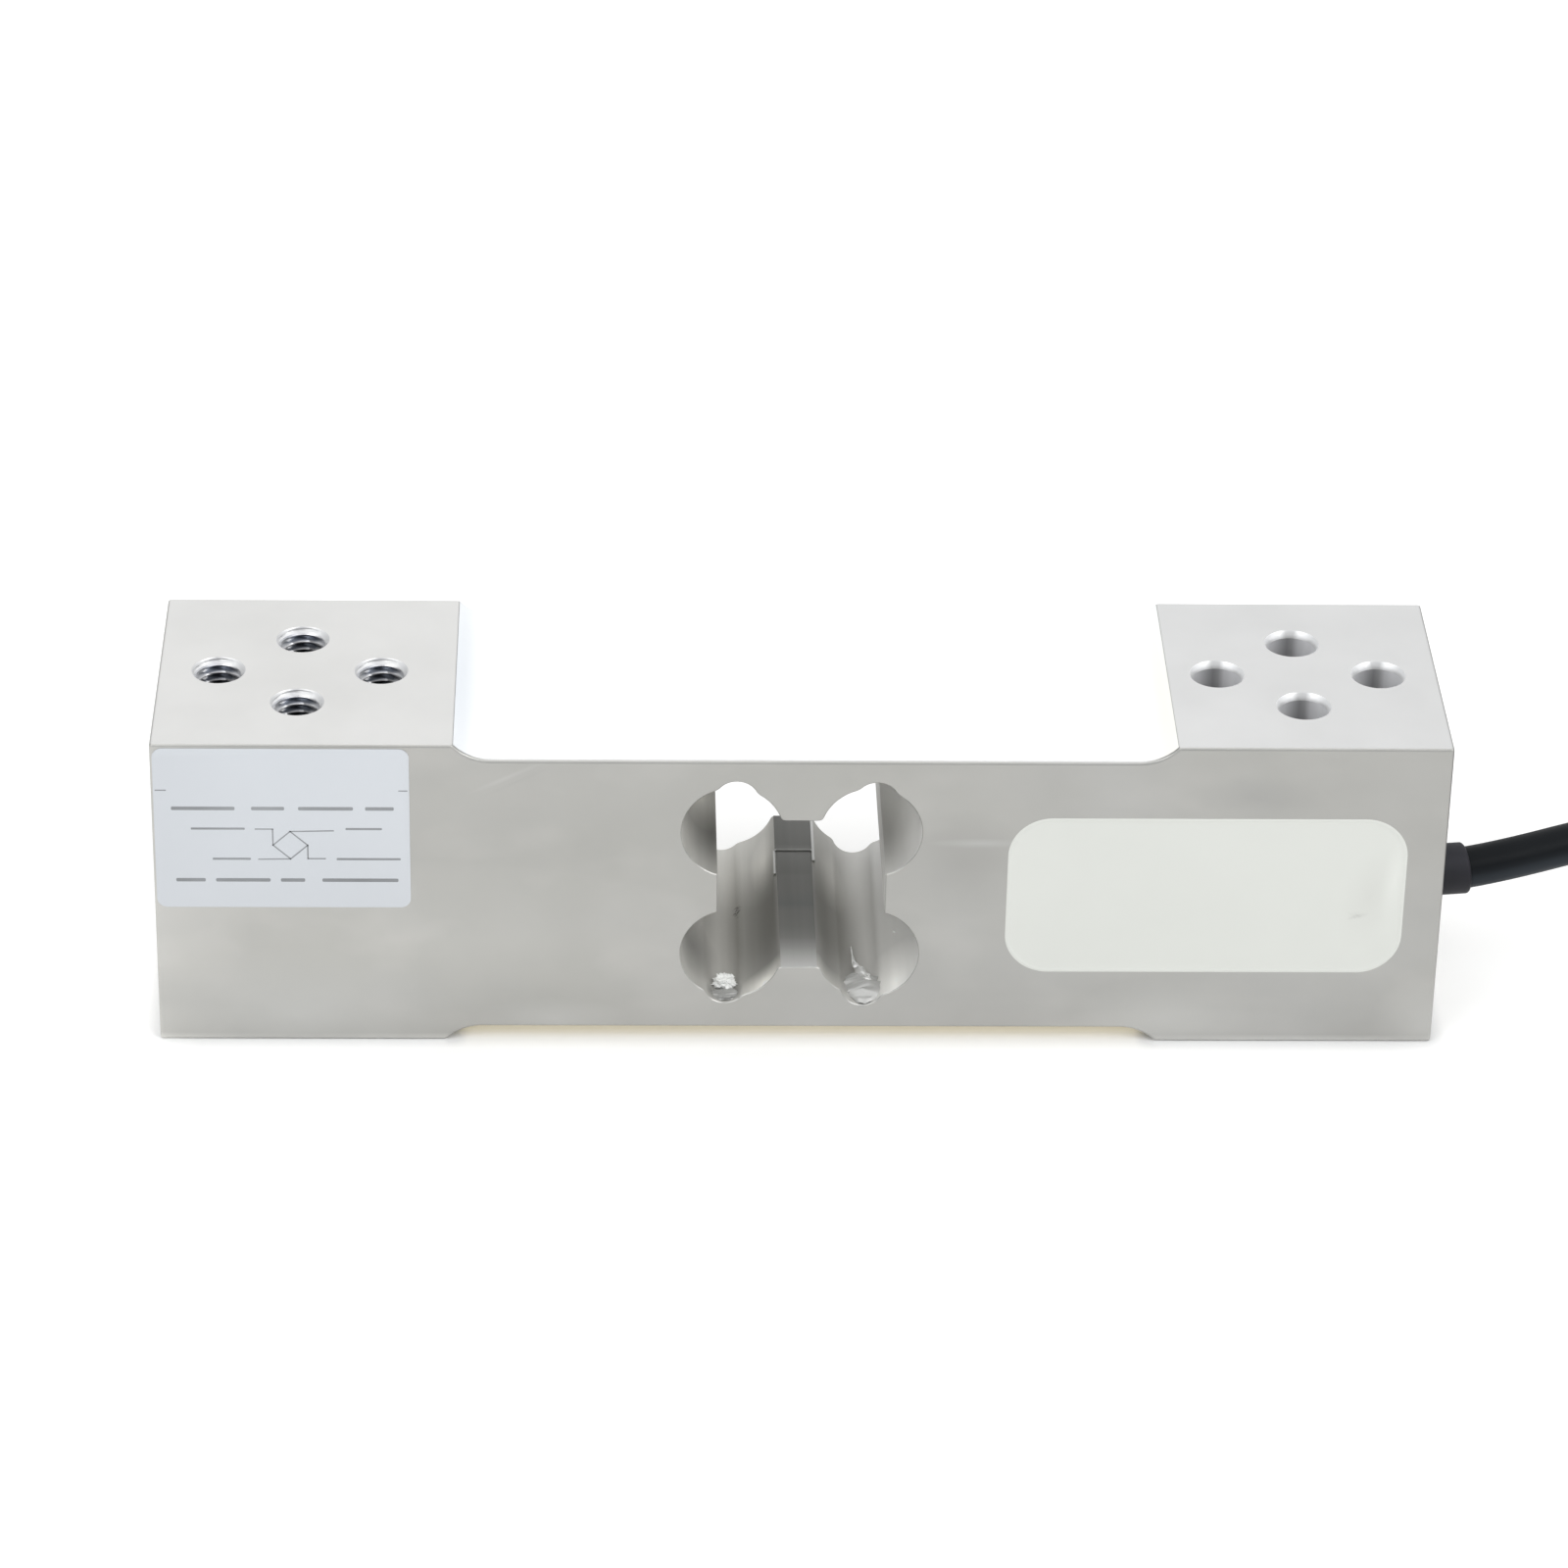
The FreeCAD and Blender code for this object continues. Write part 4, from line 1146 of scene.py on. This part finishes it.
cutters = [
    temp("k0", *loft_y(opening, flare)),
    temp("k1", *loft_y(pocket_line, pocket_cut)),
    temp("k2", *turned((63, -11.8, 20), (1, 0, 0), [(0, 3.25), (11.75, 3.25), (12.0, 3.5), (13.0, 3.5)], 64)),
]
for z0, z1 in ((29.5, 39.0), (0.85, 10.8)):
    cutters.append(temp("k3", *turned((29, -14, z0), (0, 0, 1), [(0, 1.25), (z1 - z0, 1.25)], 32)))
HOLES = [(-9.5, 0), (9.5, 0), (0, 7.5), (0, -7.5)]
PER = 8
for dx, dy in HOLES:
    # left block: drilled 18 deep, tapped M6 for 15, countersunk
    z0 = 22.0 - 2.5 / math.tan(math.radians(59))
    prof = [(0.0, 0.02), (22.0 - z0, 2.5)]
    prof += [(24.4 - z0 + k / PER, 2.5) for k in range(int(14.7 * PER))]
    prof += [(z - z0, 2.5 + (z - 39.25) * 0.85) for z in (39.25, 39.37, 39.5, 39.62, 39.75, 39.88)]
    prof += [(40.0 - z0, 3.16), (40.6 - z0, 3.16)]
    cutters.append(temp("k4", *turned((-58.5 + dx, dy, z0), (0, 0, 1), prof, 64, (24.6 - z0, 41.5 - z0, 0.54, 1.0))))
    # right block: tapped from underneath, a plain clearance hole above
    prof = [(0.0, 3.30), (0.6, 3.30)] + [(0.6 + h, 3.25 - h) for h in (0.12, 0.25, 0.38, 0.5, 0.62, 0.75)]
    prof += [(1.45 + k / PER, 2.5) for k in range(int(14.9 * PER))]
    prof += [(16.5, 2.5), (16.62, 2.82), (40.6 - 0.88, 2.82), (40.6 - 0.44, 3.03), (40.6 - 0.06, 3.20), (40.6, 3.25), (41.2, 3.25)]
    cutters.append(temp("k5", *turned((58.5 + dx, dy, -0.6), (0, 0, 1), prof, 64, (-0.9, 16.4, 0.54, 1.0))))
cut(element, cutters)


def block(name, x0, x1, y0, y1, z0, z1):
    vs = [(x, y, z) for x in (x0, x1) for y in (y0, y1) for z in (z0, z1)]
    fs = [(0, 1, 3, 2), (4, 6, 7, 5), (0, 4, 5, 1), (2, 3, 7, 6), (0, 2, 6, 4), (1, 5, 7, 3)]
    return temp(name, vs, fs)


# the cutter's last passes left low steps across the slot's floor, towards its far end
cut(element, [
    block("s2", -2.26, 2.26, 9.1, 17.25, 10.10, 10.290),
    block("s3", -2.30, 2.30, 8.92, 9.12, 10.10, 10.365),
    block("s4", 2.20, 2.52, 6.6, 17.25, 10.00, 10.375),
    block("s5", -2.50, -2.26, 3.5, 8.8, 10.00, 10.365),
], "UNION")

emesh = element.data
assert len(emesh.polygons) > 1000, "the spring element was lost in the cuts"
emesh.transform(Matrix.Scale(0.001, 4))
emesh.name = "spring_body"
element.name = "spring_body"
bm = bmesh.new()
bm.from_mesh(emesh)
bmesh.ops.remove_doubles(bm, verts=bm.verts, dist=1e-7)
bmesh.ops.dissolve_degenerate(bm, dist=2e-7, edges=bm.edges)
bmesh.ops.recalc_face_normals(bm, faces=bm.faces)
bm.to_mesh(emesh)
bm.free()
emesh.materials.clear()
emesh.materials.append(MAT["aluminium"])
smooth(emesh, 32)
wn = element.modifiers.new("flat_faces", "WEIGHTED_NORMAL")
wn.mode = "FACE_AREA"
wn.keep_sharp = True
wn.weight = 90
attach(element, "root")
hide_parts("spring_element")
print("element faces", len(emesh.polygons))


# ------------------------------------------------------------------ trimmings left in the cut-out
def crumb(name, centre, size, seed, level=4, ragged=1.0):
    """A torn lump: a ball pushed about by noise."""
    bm = bmesh.new()
    bmesh.ops.create_icosphere(bm, subdivisions=level, radius=1.0)
    for v in bm.verts:
        n = v.co.normalized()
        d = 1 + 0.30 * noise.noise(n * 1.9 + Vector((seed, 0, 0))) + 0.26 * noise.noise(n * 4.5 + Vector((0, seed, 0))) + 0.12 * noise.noise(n * 10.0 + Vector((0, 0, seed)))
        d += 0.30 * ragged * max(0.0, noise.noise(n * 7.0 + Vector((seed, seed, 3)))) + 0.07 * ragged * noise.noise(n * 19.0 + Vector((3, seed, 1)))
        v.co = Vector(centre) + Vector((n.x * size[0], n.y * size[1], n.z * size[2])) * d
    me = bpy.data.meshes.new(name)
    bm.to_mesh(me)
    bm.free()
    me.transform(Matrix.Scale(MM, 4))
    smooth(me, 50)
    return me


def shaving(name, path, widths, seed, thick=0.10, arch=0.35, lean=None):
    """A curled strip of metal: a ribbon along path, crumpled, with thickness."""
    n = 46
    pts = line_of(path, 12)
    full = total(pts)
    top, bot, faces = [], [], []
    m = 7
    for i in range(n + 1):
        f = i / n
        p, t = at_length(pts, full * f)
        side = Vector(lean or (0.8, -0.2, 0.45 - 0.6 * f)).normalized()
        side = (side - t * side.dot(t)).normalized()
        nn = t.cross(side)
        k = f * (len(widths) - 1)
        j = min(int(k), len(widths) - 2)
        w = widths[j] + (widths[j + 1] - widths[j]) * (k - j)
        w *= 1 + 0.35 * noise.noise(Vector((f * 9, seed, 0)))
        for q in range(m):
            g = q / (m - 1) - 0.5
            curl = (arch * w * (1 - (2 * g) ** 2)) + 0.46 * arch * w * noise.noise(Vector((f * 11, g * 3, seed))) * 2
            c = p + side * (g * w) + nn * curl
            top.append(c + nn * thick / 2)
            bot.append(c - nn * thick / 2)
    verts = top + bot
    o = len(top)
    for i in range(n):
        for q in range(m - 1):
            a = i * m + q
            faces.append((a, a + 1, a + m + 1, a + m))
            faces.append((o + a, o + a + m, o + a + m + 1, o + a + 1))
    rim = list(range(m)) + [i * m + m - 1 for i in range(1, n + 1)] + [n * m + q for q in range(m - 2, -1, -1)] + [i * m for i in range(n - 1, 0, -1)]
    for a, b in zip(rim, rim[1:] + rim[:1]):
        faces.append((a, o + a, o + b, b))
    me = mesh_of(name, verts, faces)
    bm = bmesh.new()
    bm.from_mesh(me)
    bmesh.ops.recalc_face_normals(bm, faces=bm.faces)
    bm.to_mesh(me)
    bm.free()
    smooth(me, 40)
    return me


c1 = link("crumb_left", crumb("crumb_left", (-8.62, -14.3, 6.12), (1.12, 0.90, 0.86), 2.3, 5, 1.6), MAT["crumb"])
c2 = link("crumb_right", crumb("crumb_right", (8.25, -13.7, 5.85), (0.62, 1.00, 0.62), 8.1, 4, 1.5), MAT["chip"])
sh = link(
    "shaving_right",
    shaving("shaving_right", [(6.60, -5.4, 5.50), (6.70, -7.6, 5.45), (6.85, -9.4, 5.55), (7.30, -11.1, 5.90), (7.90, -12.8, 6.20), (8.45, -14.2, 6.05), (8.85, -15.3, 5.75)], [0.12, 0.20, 0.42, 0.9, 1.2, 1.1, 0.5], 4.0),
    MAT["chip"],
)
# torn skins of metal left across both lower grooves at the mouth
sm = link("skin_left", crumb("skin_left", (-8.72, -16.0, 5.52), (2.18, 1.10, 0.34), 6.4, 4, 0.4), MAT["smear"])
fl_ = link(
    "skin_right",
    shaving("skin_right", [(6.8, -11.2, 5.45), (7.1, -13.0, 5.78), (7.5, -14.8, 5.90), (7.8, -16.2, 5.68), (7.4, -17.35, 5.14)], [0.5, 3.9, 4.4, 4.9, 0.9], 14.0, 0.07, 0.13, (1.0, -0.1, 0.12)),
    MAT["smear"],
)
c3 = link("crumb_speck", crumb("crumb_speck", (11.70, -5.15, 7.48), (0.16, 0.16, 0.16), 5.0, 3), MAT["crumb"])

# ------------------------------------------------------------------ silicone
def pad(name, x0, x1, y0, y1, z, up_dir, thick, rise=0.0, edge=3.0, seed=0.0, nx=150, ny=70):
    """A skin of silicone on a recess floor: thin at its uneven edges, slightly full in the middle.
    rise lets its two ends climb the recess's end arcs."""
    verts, faces = [], []
    for j in range(ny + 1):
        v = j / ny
        for i in range(nx + 1):
            u = i / nx
            x, y = x0 + (x1 - x0) * u, y0 + (y1 - y0) * v
            wob = 0.16 * noise.noise(Vector((x * 0.11, y * 0.13, seed))) + 0.05 * noise.noise(Vector((x * 0.6, y * 0.6, seed + 3)))
            dx = min(x - x0, x1 - x)
            dy = min(y - y0, y1 - y)
            f = math.sqrt(max(0.0, 1 - (1 - min(1.0, min(dx, dy) / edge)) ** 2))
            # outline wanders a little
            if j in (0, ny):
                y += (1 if j == 0 else -1) * 0.05 * (1 + noise.noise(Vector((x * 0.25, seed, 1.0))))
            h = 0.06 + (thick - 0.06) * f * (1 + 0.10 * wob) + 0.04 * wob * f
            # over the arcs at the ends the skin follows the metal
            base = 0.0
            for end, s in ((x0, 1), (x1, -1)):
                q = (end - x) * s + rise
                if q > 0:
                    base = REC_R - math.sqrt(max(0.0, REC_R ** 2 - q * q))
            verts.append((x, y, z + up_dir * (base + h)))
    n = (nx + 1) * (ny + 1)
    for j in range(ny + 1):
        for i in range(nx + 1):
            x, y, _ = verts[j * (nx + 1) + i]
            base = 0.0
            for end, s in ((x0, 1), (x1, -1)):
                q = (end - x) * s + rise
                if q > 0:
                    base = REC_R - math.sqrt(max(0.0, REC_R ** 2 - q * q))
            verts.append((x, y, z + up_dir * (base - 0.02)))
    w = nx + 1
    for j in range(ny):
        for i in range(nx):
            a = j * w + i
            faces.append((a, a + 1, a + w + 1, a + w))
            faces.append((n + a, n + a + w, n + a + w + 1, n + a + 1))
    rim = [i for i in range(w)] + [j * w + nx for j in range(1, ny + 1)] + [ny * w + i for i in range(nx - 1, -1, -1)] + [j * w for j in range(ny - 1, 0, -1)]
    for a, b in zip(rim, rim[1:] + rim[:1]):
        faces.append((a, n + a, n + b, b))
    me = mesh_of(name, verts, faces)
    bm = bmesh.new()
    bm.from_mesh(me)
    bmesh.ops.recalc_face_normals(bm, faces=bm.faces)
    bm.to_mesh(me)
    bm.free()
    smooth(me, 60)
    return me


run_t = math.sqrt(REC_R ** 2 - (REC_R - TOP_D) ** 2)
run_b = math.sqrt(REC_R ** 2 - (REC_R - BOT_D) ** 2)
RISE = 4.40
xa, xb = TOP_A + run_t, TOP_B - run_t
cover_t = link("cover_top", pad("cover_top", xa - RISE, xb + RISE, -17.2, 17.2, H - TOP_D, 1, 0.55, RISE, 3.2, 2.0), MAT["silicone"])
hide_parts("gauge_cover_top")
xa, xb = BOT_A + run_b, BOT_B - run_b
cover_b = link("cover_bottom", pad("cover_bottom", xa - 3.6, xb + 3.6, -16.9, 16.9, BOT_D, -1, 0.75, 3.6, 2.4, 7.0), MAT["silicone_warm"])
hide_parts("gauge_cover_bottom")


def potting():
    """Silicone poured into the pocket: a level face that creeps up its walls, fuller at the cable end."""
    x0, x1, z0, z1, r = PK
    o = 0.10  # the skin covers the pocket's edge break
    lip = rounded_rect(x0 - o, x1 + o, z0 - o, z1 + o, r + o, 24)
    dense = []
    for a, b in zip(lip, lip[1:] + lip[:1]):
        l = math.dist(a, b)
        if l < 1e-9:
            continue
        n = max(1, int(l / 0.8))
        dense += [(a[0] + (b[0] - a[0]) * k / n, a[1] + (b[1] - a[1]) * k / n) for k in range(n)]
    n = len(dense)
    zc = (z0 + z1) / 2
    mid = [(min(max(x, x0 + 10.0), x1 - 10.0), zc) for x, z in dense]
    steps = [0.0, 0.006, 0.012, 0.018, 0.024, 0.031, 0.040, 0.055, 0.075, 0.10] + [0.14 + 0.86 * k / 22 for k in range(23)]

    def face_y(x, z, v):
        e = v * 10.3
        creep = 0.055 * math.exp(-(((e - 0.22) / 0.16) ** 2))  # a low bead along the wall
        sag = 0.035 * (1 - math.exp(-e / 1.2))
        full = 0.16 * math.exp(-(((x - 68.2) / 1.6) ** 2)) * step((28.5 - z) / 6) * step((z - 10.5) / 4)
        soft = 0.035 * noise.noise(Vector((x * 0.09, z * 0.16, 5.0))) + 0.012 * noise.noise(Vector((x * 0.5, z * 0.5, 9.0)))
        # a short drag mark left in the skin
        ux, uz = x - 65.2, z - 17.5
        along, off = ux * 0.94 + uz * 0.34, -ux * 0.34 + uz * 0.94
        drag = 0.17 * math.exp(-((off / 0.16) ** 2)) * math.exp(-((along / 0.75) ** 4)) - 0.04 * math.exp(-(((off - 0.4) / 0.25) ** 2)) * math.exp(-((along / 0.8) ** 4))
        return YF - 0.004 + sag * step(e / 0.5) - creep - full - soft * step(e / 1.5) + drag

    verts, faces = [], []
    for v in steps:
        for (x, z), (mx, mz) in zip(dense, mid):
            px, pz = x + (mx - x) * v, z + (mz - z) * v
            verts.append((px, face_y(px, pz, v), pz))
    m = len(steps)
    for k in range(m - 1):
        for i in range(n):
            j = (i + 1) % n
            faces.append((k * n + i, k * n + j, (k + 1) * n + j, (k + 1) * n + i))
    base = len(verts)
    cx_, cz_ = (x0 + x1) / 2, (z0 + z1) / 2
    for x, z in dense:
        verts.append((cx_ + (x - cx_) * 0.9955, YF + 0.12, cz_ + (z - cz_) * 0.989))
    for x, z in dense:
        verts.append((cx_ + (x - cx_) * 0.9955, YF + 5.95, cz_ + (z - cz_) * 0.989))
    for i in range(n):
        j = (i + 1) % n
        faces.append((i, base + i, base + j, j))
        faces.append((base + i, base + n + i, base + n + j, base + j))
    faces.append(tuple(base + n + i for i in range(n)))
    me = mesh_of("potting", verts, faces)
    bm = bmesh.new()
    bm.from_mesh(me)
    bmesh.ops.remove_doubles(bm, verts=bm.verts, dist=2e-6)
    bmesh.ops.dissolve_degenerate(bm, dist=1e-6, edges=bm.edges)
    bmesh.ops.recalc_face_normals(bm, faces=bm.faces)
    bm.to_mesh(me)
    bm.free()
    smooth(me, 50)
    return me


pot = link("potting", potting(), MAT["potting"])
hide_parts("pocket_potting")

# ------------------------------------------------------------------ label
LX0, LX1, LZ0, LZ1 = -74.7, -45.3, 18.3, 39.5
lab = rounded_rect(LX0, LX1, LZ0, LZ1, 1.2, 12)
v, f = loft_y(lab, [(YF - 0.10, 0.05), (YF - 0.075, 0.0), (YF - 0.005, 0.0)])
me = mesh_of("label_film", v, f)
bm = bmesh.new()
bm.from_mesh(me)
bmesh.ops.recalc_face_normals(bm, faces=bm.faces)
bm.to_mesh(me)
bm.free()
smooth(me, 30)
label = link("label_film", me, MAT["label"])
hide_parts("rating_label")

# generic print: plain bars for lines of print, and the usual diamond of a bridge circuit
INK_Y0, INK_Y1 = YF - 0.100, YF - 0.108
ink_v, ink_f = [], []


def ink_quad(pts):
    n = len(ink_v)
    for y in (INK_Y1, INK_Y0 + 0.004):
        for x, z in pts:
            ink_v.append((x, y, z))
    m = len(pts)
    ink_f.append(tuple(n + i for i in range(m)))
    ink_f.append(tuple(n + m + i for i in range(m))[::-1])
    for i in range(m):
        j = (i + 1) % m
        ink_f.append((n + i, n + m + i, n + m + j, n + j))


def ink_line(a, b, w=0.16):
    a, b = Vector(a), Vector(b)
    t = (b - a).normalized()
    nn = Vector((-t.y, t.x)) * (w / 2)
    t = t * (w * 0.35)
    ink_quad([tuple(a - t - nn), tuple(b + t - nn), tuple(b + t + nn), tuple(a - t + nn)])


def ink_bar(x0, x1, z, h):
    r = h * 0.3
    ink_quad(rounded_rect(LX0 + x0, LX0 + x1, z - h / 2, z + h / 2, r, 3))


for x0, x1 in ((0.25, 1.45), (28.2, 29.15)):
    ink_line((LX0 + x0, 34.0), (LX0 + x1, 34.0), 0.14)
for x0, x1 in ((2.0, 9.3), (11.2, 15.0), (16.6, 22.9), (24.3, 27.6)):
    ink_bar(x0, x1, 31.6, 0.46)
for x0, x1 in ((4.2, 10.4), (22.0, 26.2)):
    ink_bar(x0, x1, 28.9, 0.28)
for x0, x1 in ((6.6, 11.0), (20.9, 28.3)):
    ink_bar(x0, x1, 24.85, 0.28)
for x0, x1 in ((2.3, 5.7), (6.9, 13.2), (14.4, 17.2), (19.2, 28.0)):
    ink_bar(x0, x1, 22.0, 0.46)
cx, cz, hd = LX0 + 15.6, 26.7, 2.0
D = {"l": (cx - hd, cz), "t": (cx, cz + hd * 0.92), "r": (cx + hd, cz), "b": (cx, cz - hd * 0.92)}
for a, b in (("l", "t"), ("t", "r"), ("r", "b"), ("b", "l")):
    ink_line(D[a], D[b])
for path in (
    [D["l"], (cx - hd, 28.85), (LX0 + 11.6, 28.85)],
    [D["t"], (LX0 + 20.6, 28.65)],
    [D["b"], (LX0 + 11.9, 24.8)],
    [D["r"], (cx + hd, 24.9), (LX0 + 19.6, 24.9)],
):
    for a, b in zip(path, path[1:]):
        ink_line(a, b)
me = mesh_of("label_print", ink_v, ink_f)
bm = bmesh.new()
bm.from_mesh(me)
bmesh.ops.recalc_face_normals(bm, faces=bm.faces)
bm.to_mesh(me)
bm.free()
prnt = link("label_print", me, MAT["ink"])

# ------------------------------------------------------------------ CAD pieces that stay
def dress(name, mat):
    ob = node[name] if not isinstance(node[name], (list, tuple)) else node[name][0]
    ob.data.materials.clear()
    ob.data.materials.append(mat)


for n_, m_ in (
    ("strain_gauge_top_left", "film"), ("strain_gauge_top_right", "film"), ("strain_gauge_bottom_left", "film"), ("strain_gauge_bottom_right", "film"),
    ("terminal_strip_top", "board"), ("terminal_strip_bottom", "board"), ("gauge_leads_top", "enamel"), ("gauge_leads_bottom", "enamel"),
    ("bridge_board", "board"), ("trim_resistors", "resistor"), ("pocket_conductors", "white"),
):
    dress(n_, MAT[m_])

# ------------------------------------------------------------------ floor and light
fm, nt, b = principled("floor_paper")
vv = coords(nt)
nt.links.new(ramp(nt, noise_node(nt, vv, 3.0, 3.0), [(0.3, (0.745, 0.745, 0.745)), (0.7, (0.76, 0.76, 0.76))]), b.inputs["Base Color"])
b.inputs["Roughness"].default_value = 0.9
b.inputs["Specular IOR Level"].default_value = 0.15
b.inputs["Emission Color"].default_value = (1.0, 0.985, 0.955, 1.0)
sep = nt.nodes.new("ShaderNodeSeparateXYZ")
nt.links.new(vv, sep.inputs[0])
# painted shadows on the floor: its glow lowered under the end blocks and the middle, in a soft apron in front and
# along the middle's front edge; painted light: its glow raised left of the left block; under the middle its glow
# painted warm
shadow_under_l = box_mask(nt, sep, {"X": (-0.0760, -0.0400), "Y": (-0.0182, 0.0182)}, 0.0022)
shadow_under_m = box_mask(nt, sep, {"X": (-0.0420, 0.0430), "Y": (-0.0180, 0.0180)}, 0.0030)
shadow_under_r = box_mask(nt, sep, {"X": (0.0410, 0.0760), "Y": (-0.0185, 0.0184)}, 0.0022)
glow = math_node(nt, "SUBTRACT", 0.32, math_node(nt, "MULTIPLY", shadow_under_l, 0.24))
glow = math_node(nt, "SUBTRACT", glow, math_node(nt, "MULTIPLY", shadow_under_m, 0.01))
glow = math_node(nt, "SUBTRACT", glow, math_node(nt, "MULTIPLY", shadow_under_r, 0.25))
shadow_apron = box_mask(nt, sep, {"X": (-0.0735, 0.0735), "Y": (-0.0240, 0.0182)}, 0.0070)
glow = math_node(nt, "SUBTRACT", glow, math_node(nt, "MULTIPLY", shadow_apron, 0.10))
beside = box_mask(nt, sep, {"X": (-0.0860, -0.0752), "Y": (-0.0190, 0.0150)}, 0.0040)
glow = math_node(nt, "ADD", glow, math_node(nt, "MULTIPLY", beside, 0.09))
shadow_edge = box_mask(nt, sep, {"X": (-0.0410, 0.0420), "Y": (-0.0184, -0.0160)}, 0.0016)
glow = math_node(nt, "SUBTRACT", glow, math_node(nt, "MULTIPLY", shadow_edge, 0.13))
nt.links.new(math_node(nt, "MAXIMUM", glow, 0.0), b.inputs["Emission Strength"])
warm = nt.nodes.new("ShaderNodeMix")
warm.data_type = "RGBA"
nt.links.new(shadow_under_m, warm.inputs["Factor"])
warm.inputs["A"].default_value = (1.0, 0.985, 0.955, 1.0)
warm.inputs["B"].default_value = (1.0, 0.91, 0.66, 1.0)
nt.links.new(warm.outputs["Result"], b.inputs["Emission Color"])
fl = bpy.data.meshes.new("floor")
fl.from_pydata([(-4, -4, 0), (4, -4, 0), (4, 4, 0), (-4, 4, 0)], [], [(0, 1, 2, 3)])
fl.materials.append(fm)
floor = bpy.data.objects.new("floor", fl)
scene.collection.objects.link(floor)

world = bpy.data.worlds.new("studio")
scene.world = world
world.use_nodes = True
world.node_tree.nodes["Background"].inputs["Color"].default_value = (0.96, 0.98, 1.0, 1.0)
world.node_tree.nodes["Background"].inputs["Strength"].default_value = 0.66


def area(name, loc, target, size, size_y, power, color=(1, 1, 1)):
    l = bpy.data.lights.new(name, "AREA")
    l.shape = "RECTANGLE"
    l.size, l.size_y = size, size_y
    l.energy = power
    l.color = color
    o = bpy.data.objects.new(name, l)
    scene.collection.objects.link(o)
    o.location = loc
    d = Vector(target) - Vector(loc)
    o.rotation_euler = d.to_track_quat("-Z", "Y").to_euler()
    return o


area("softbox_left", (-1.25, -1.25, 1.65), (0, 0, 0.02), 1.25, 1.25, 13.0, (1.0, 1.0, 0.99))
area("softbox_right", (1.35, -1.15, 1.65), (0, 0, 0.02), 1.25, 1.25, 20.0, (1.0, 1.0, 0.99))
area("softbox_back", (0.0, 1.9, 1.25), (0, 0, 0.02), 2.6, 1.3, 10.0)
area("softbox_top", (0.0, 0.1, 2.2), (0, 0, 0.02), 2.0, 2.0, 14.0)
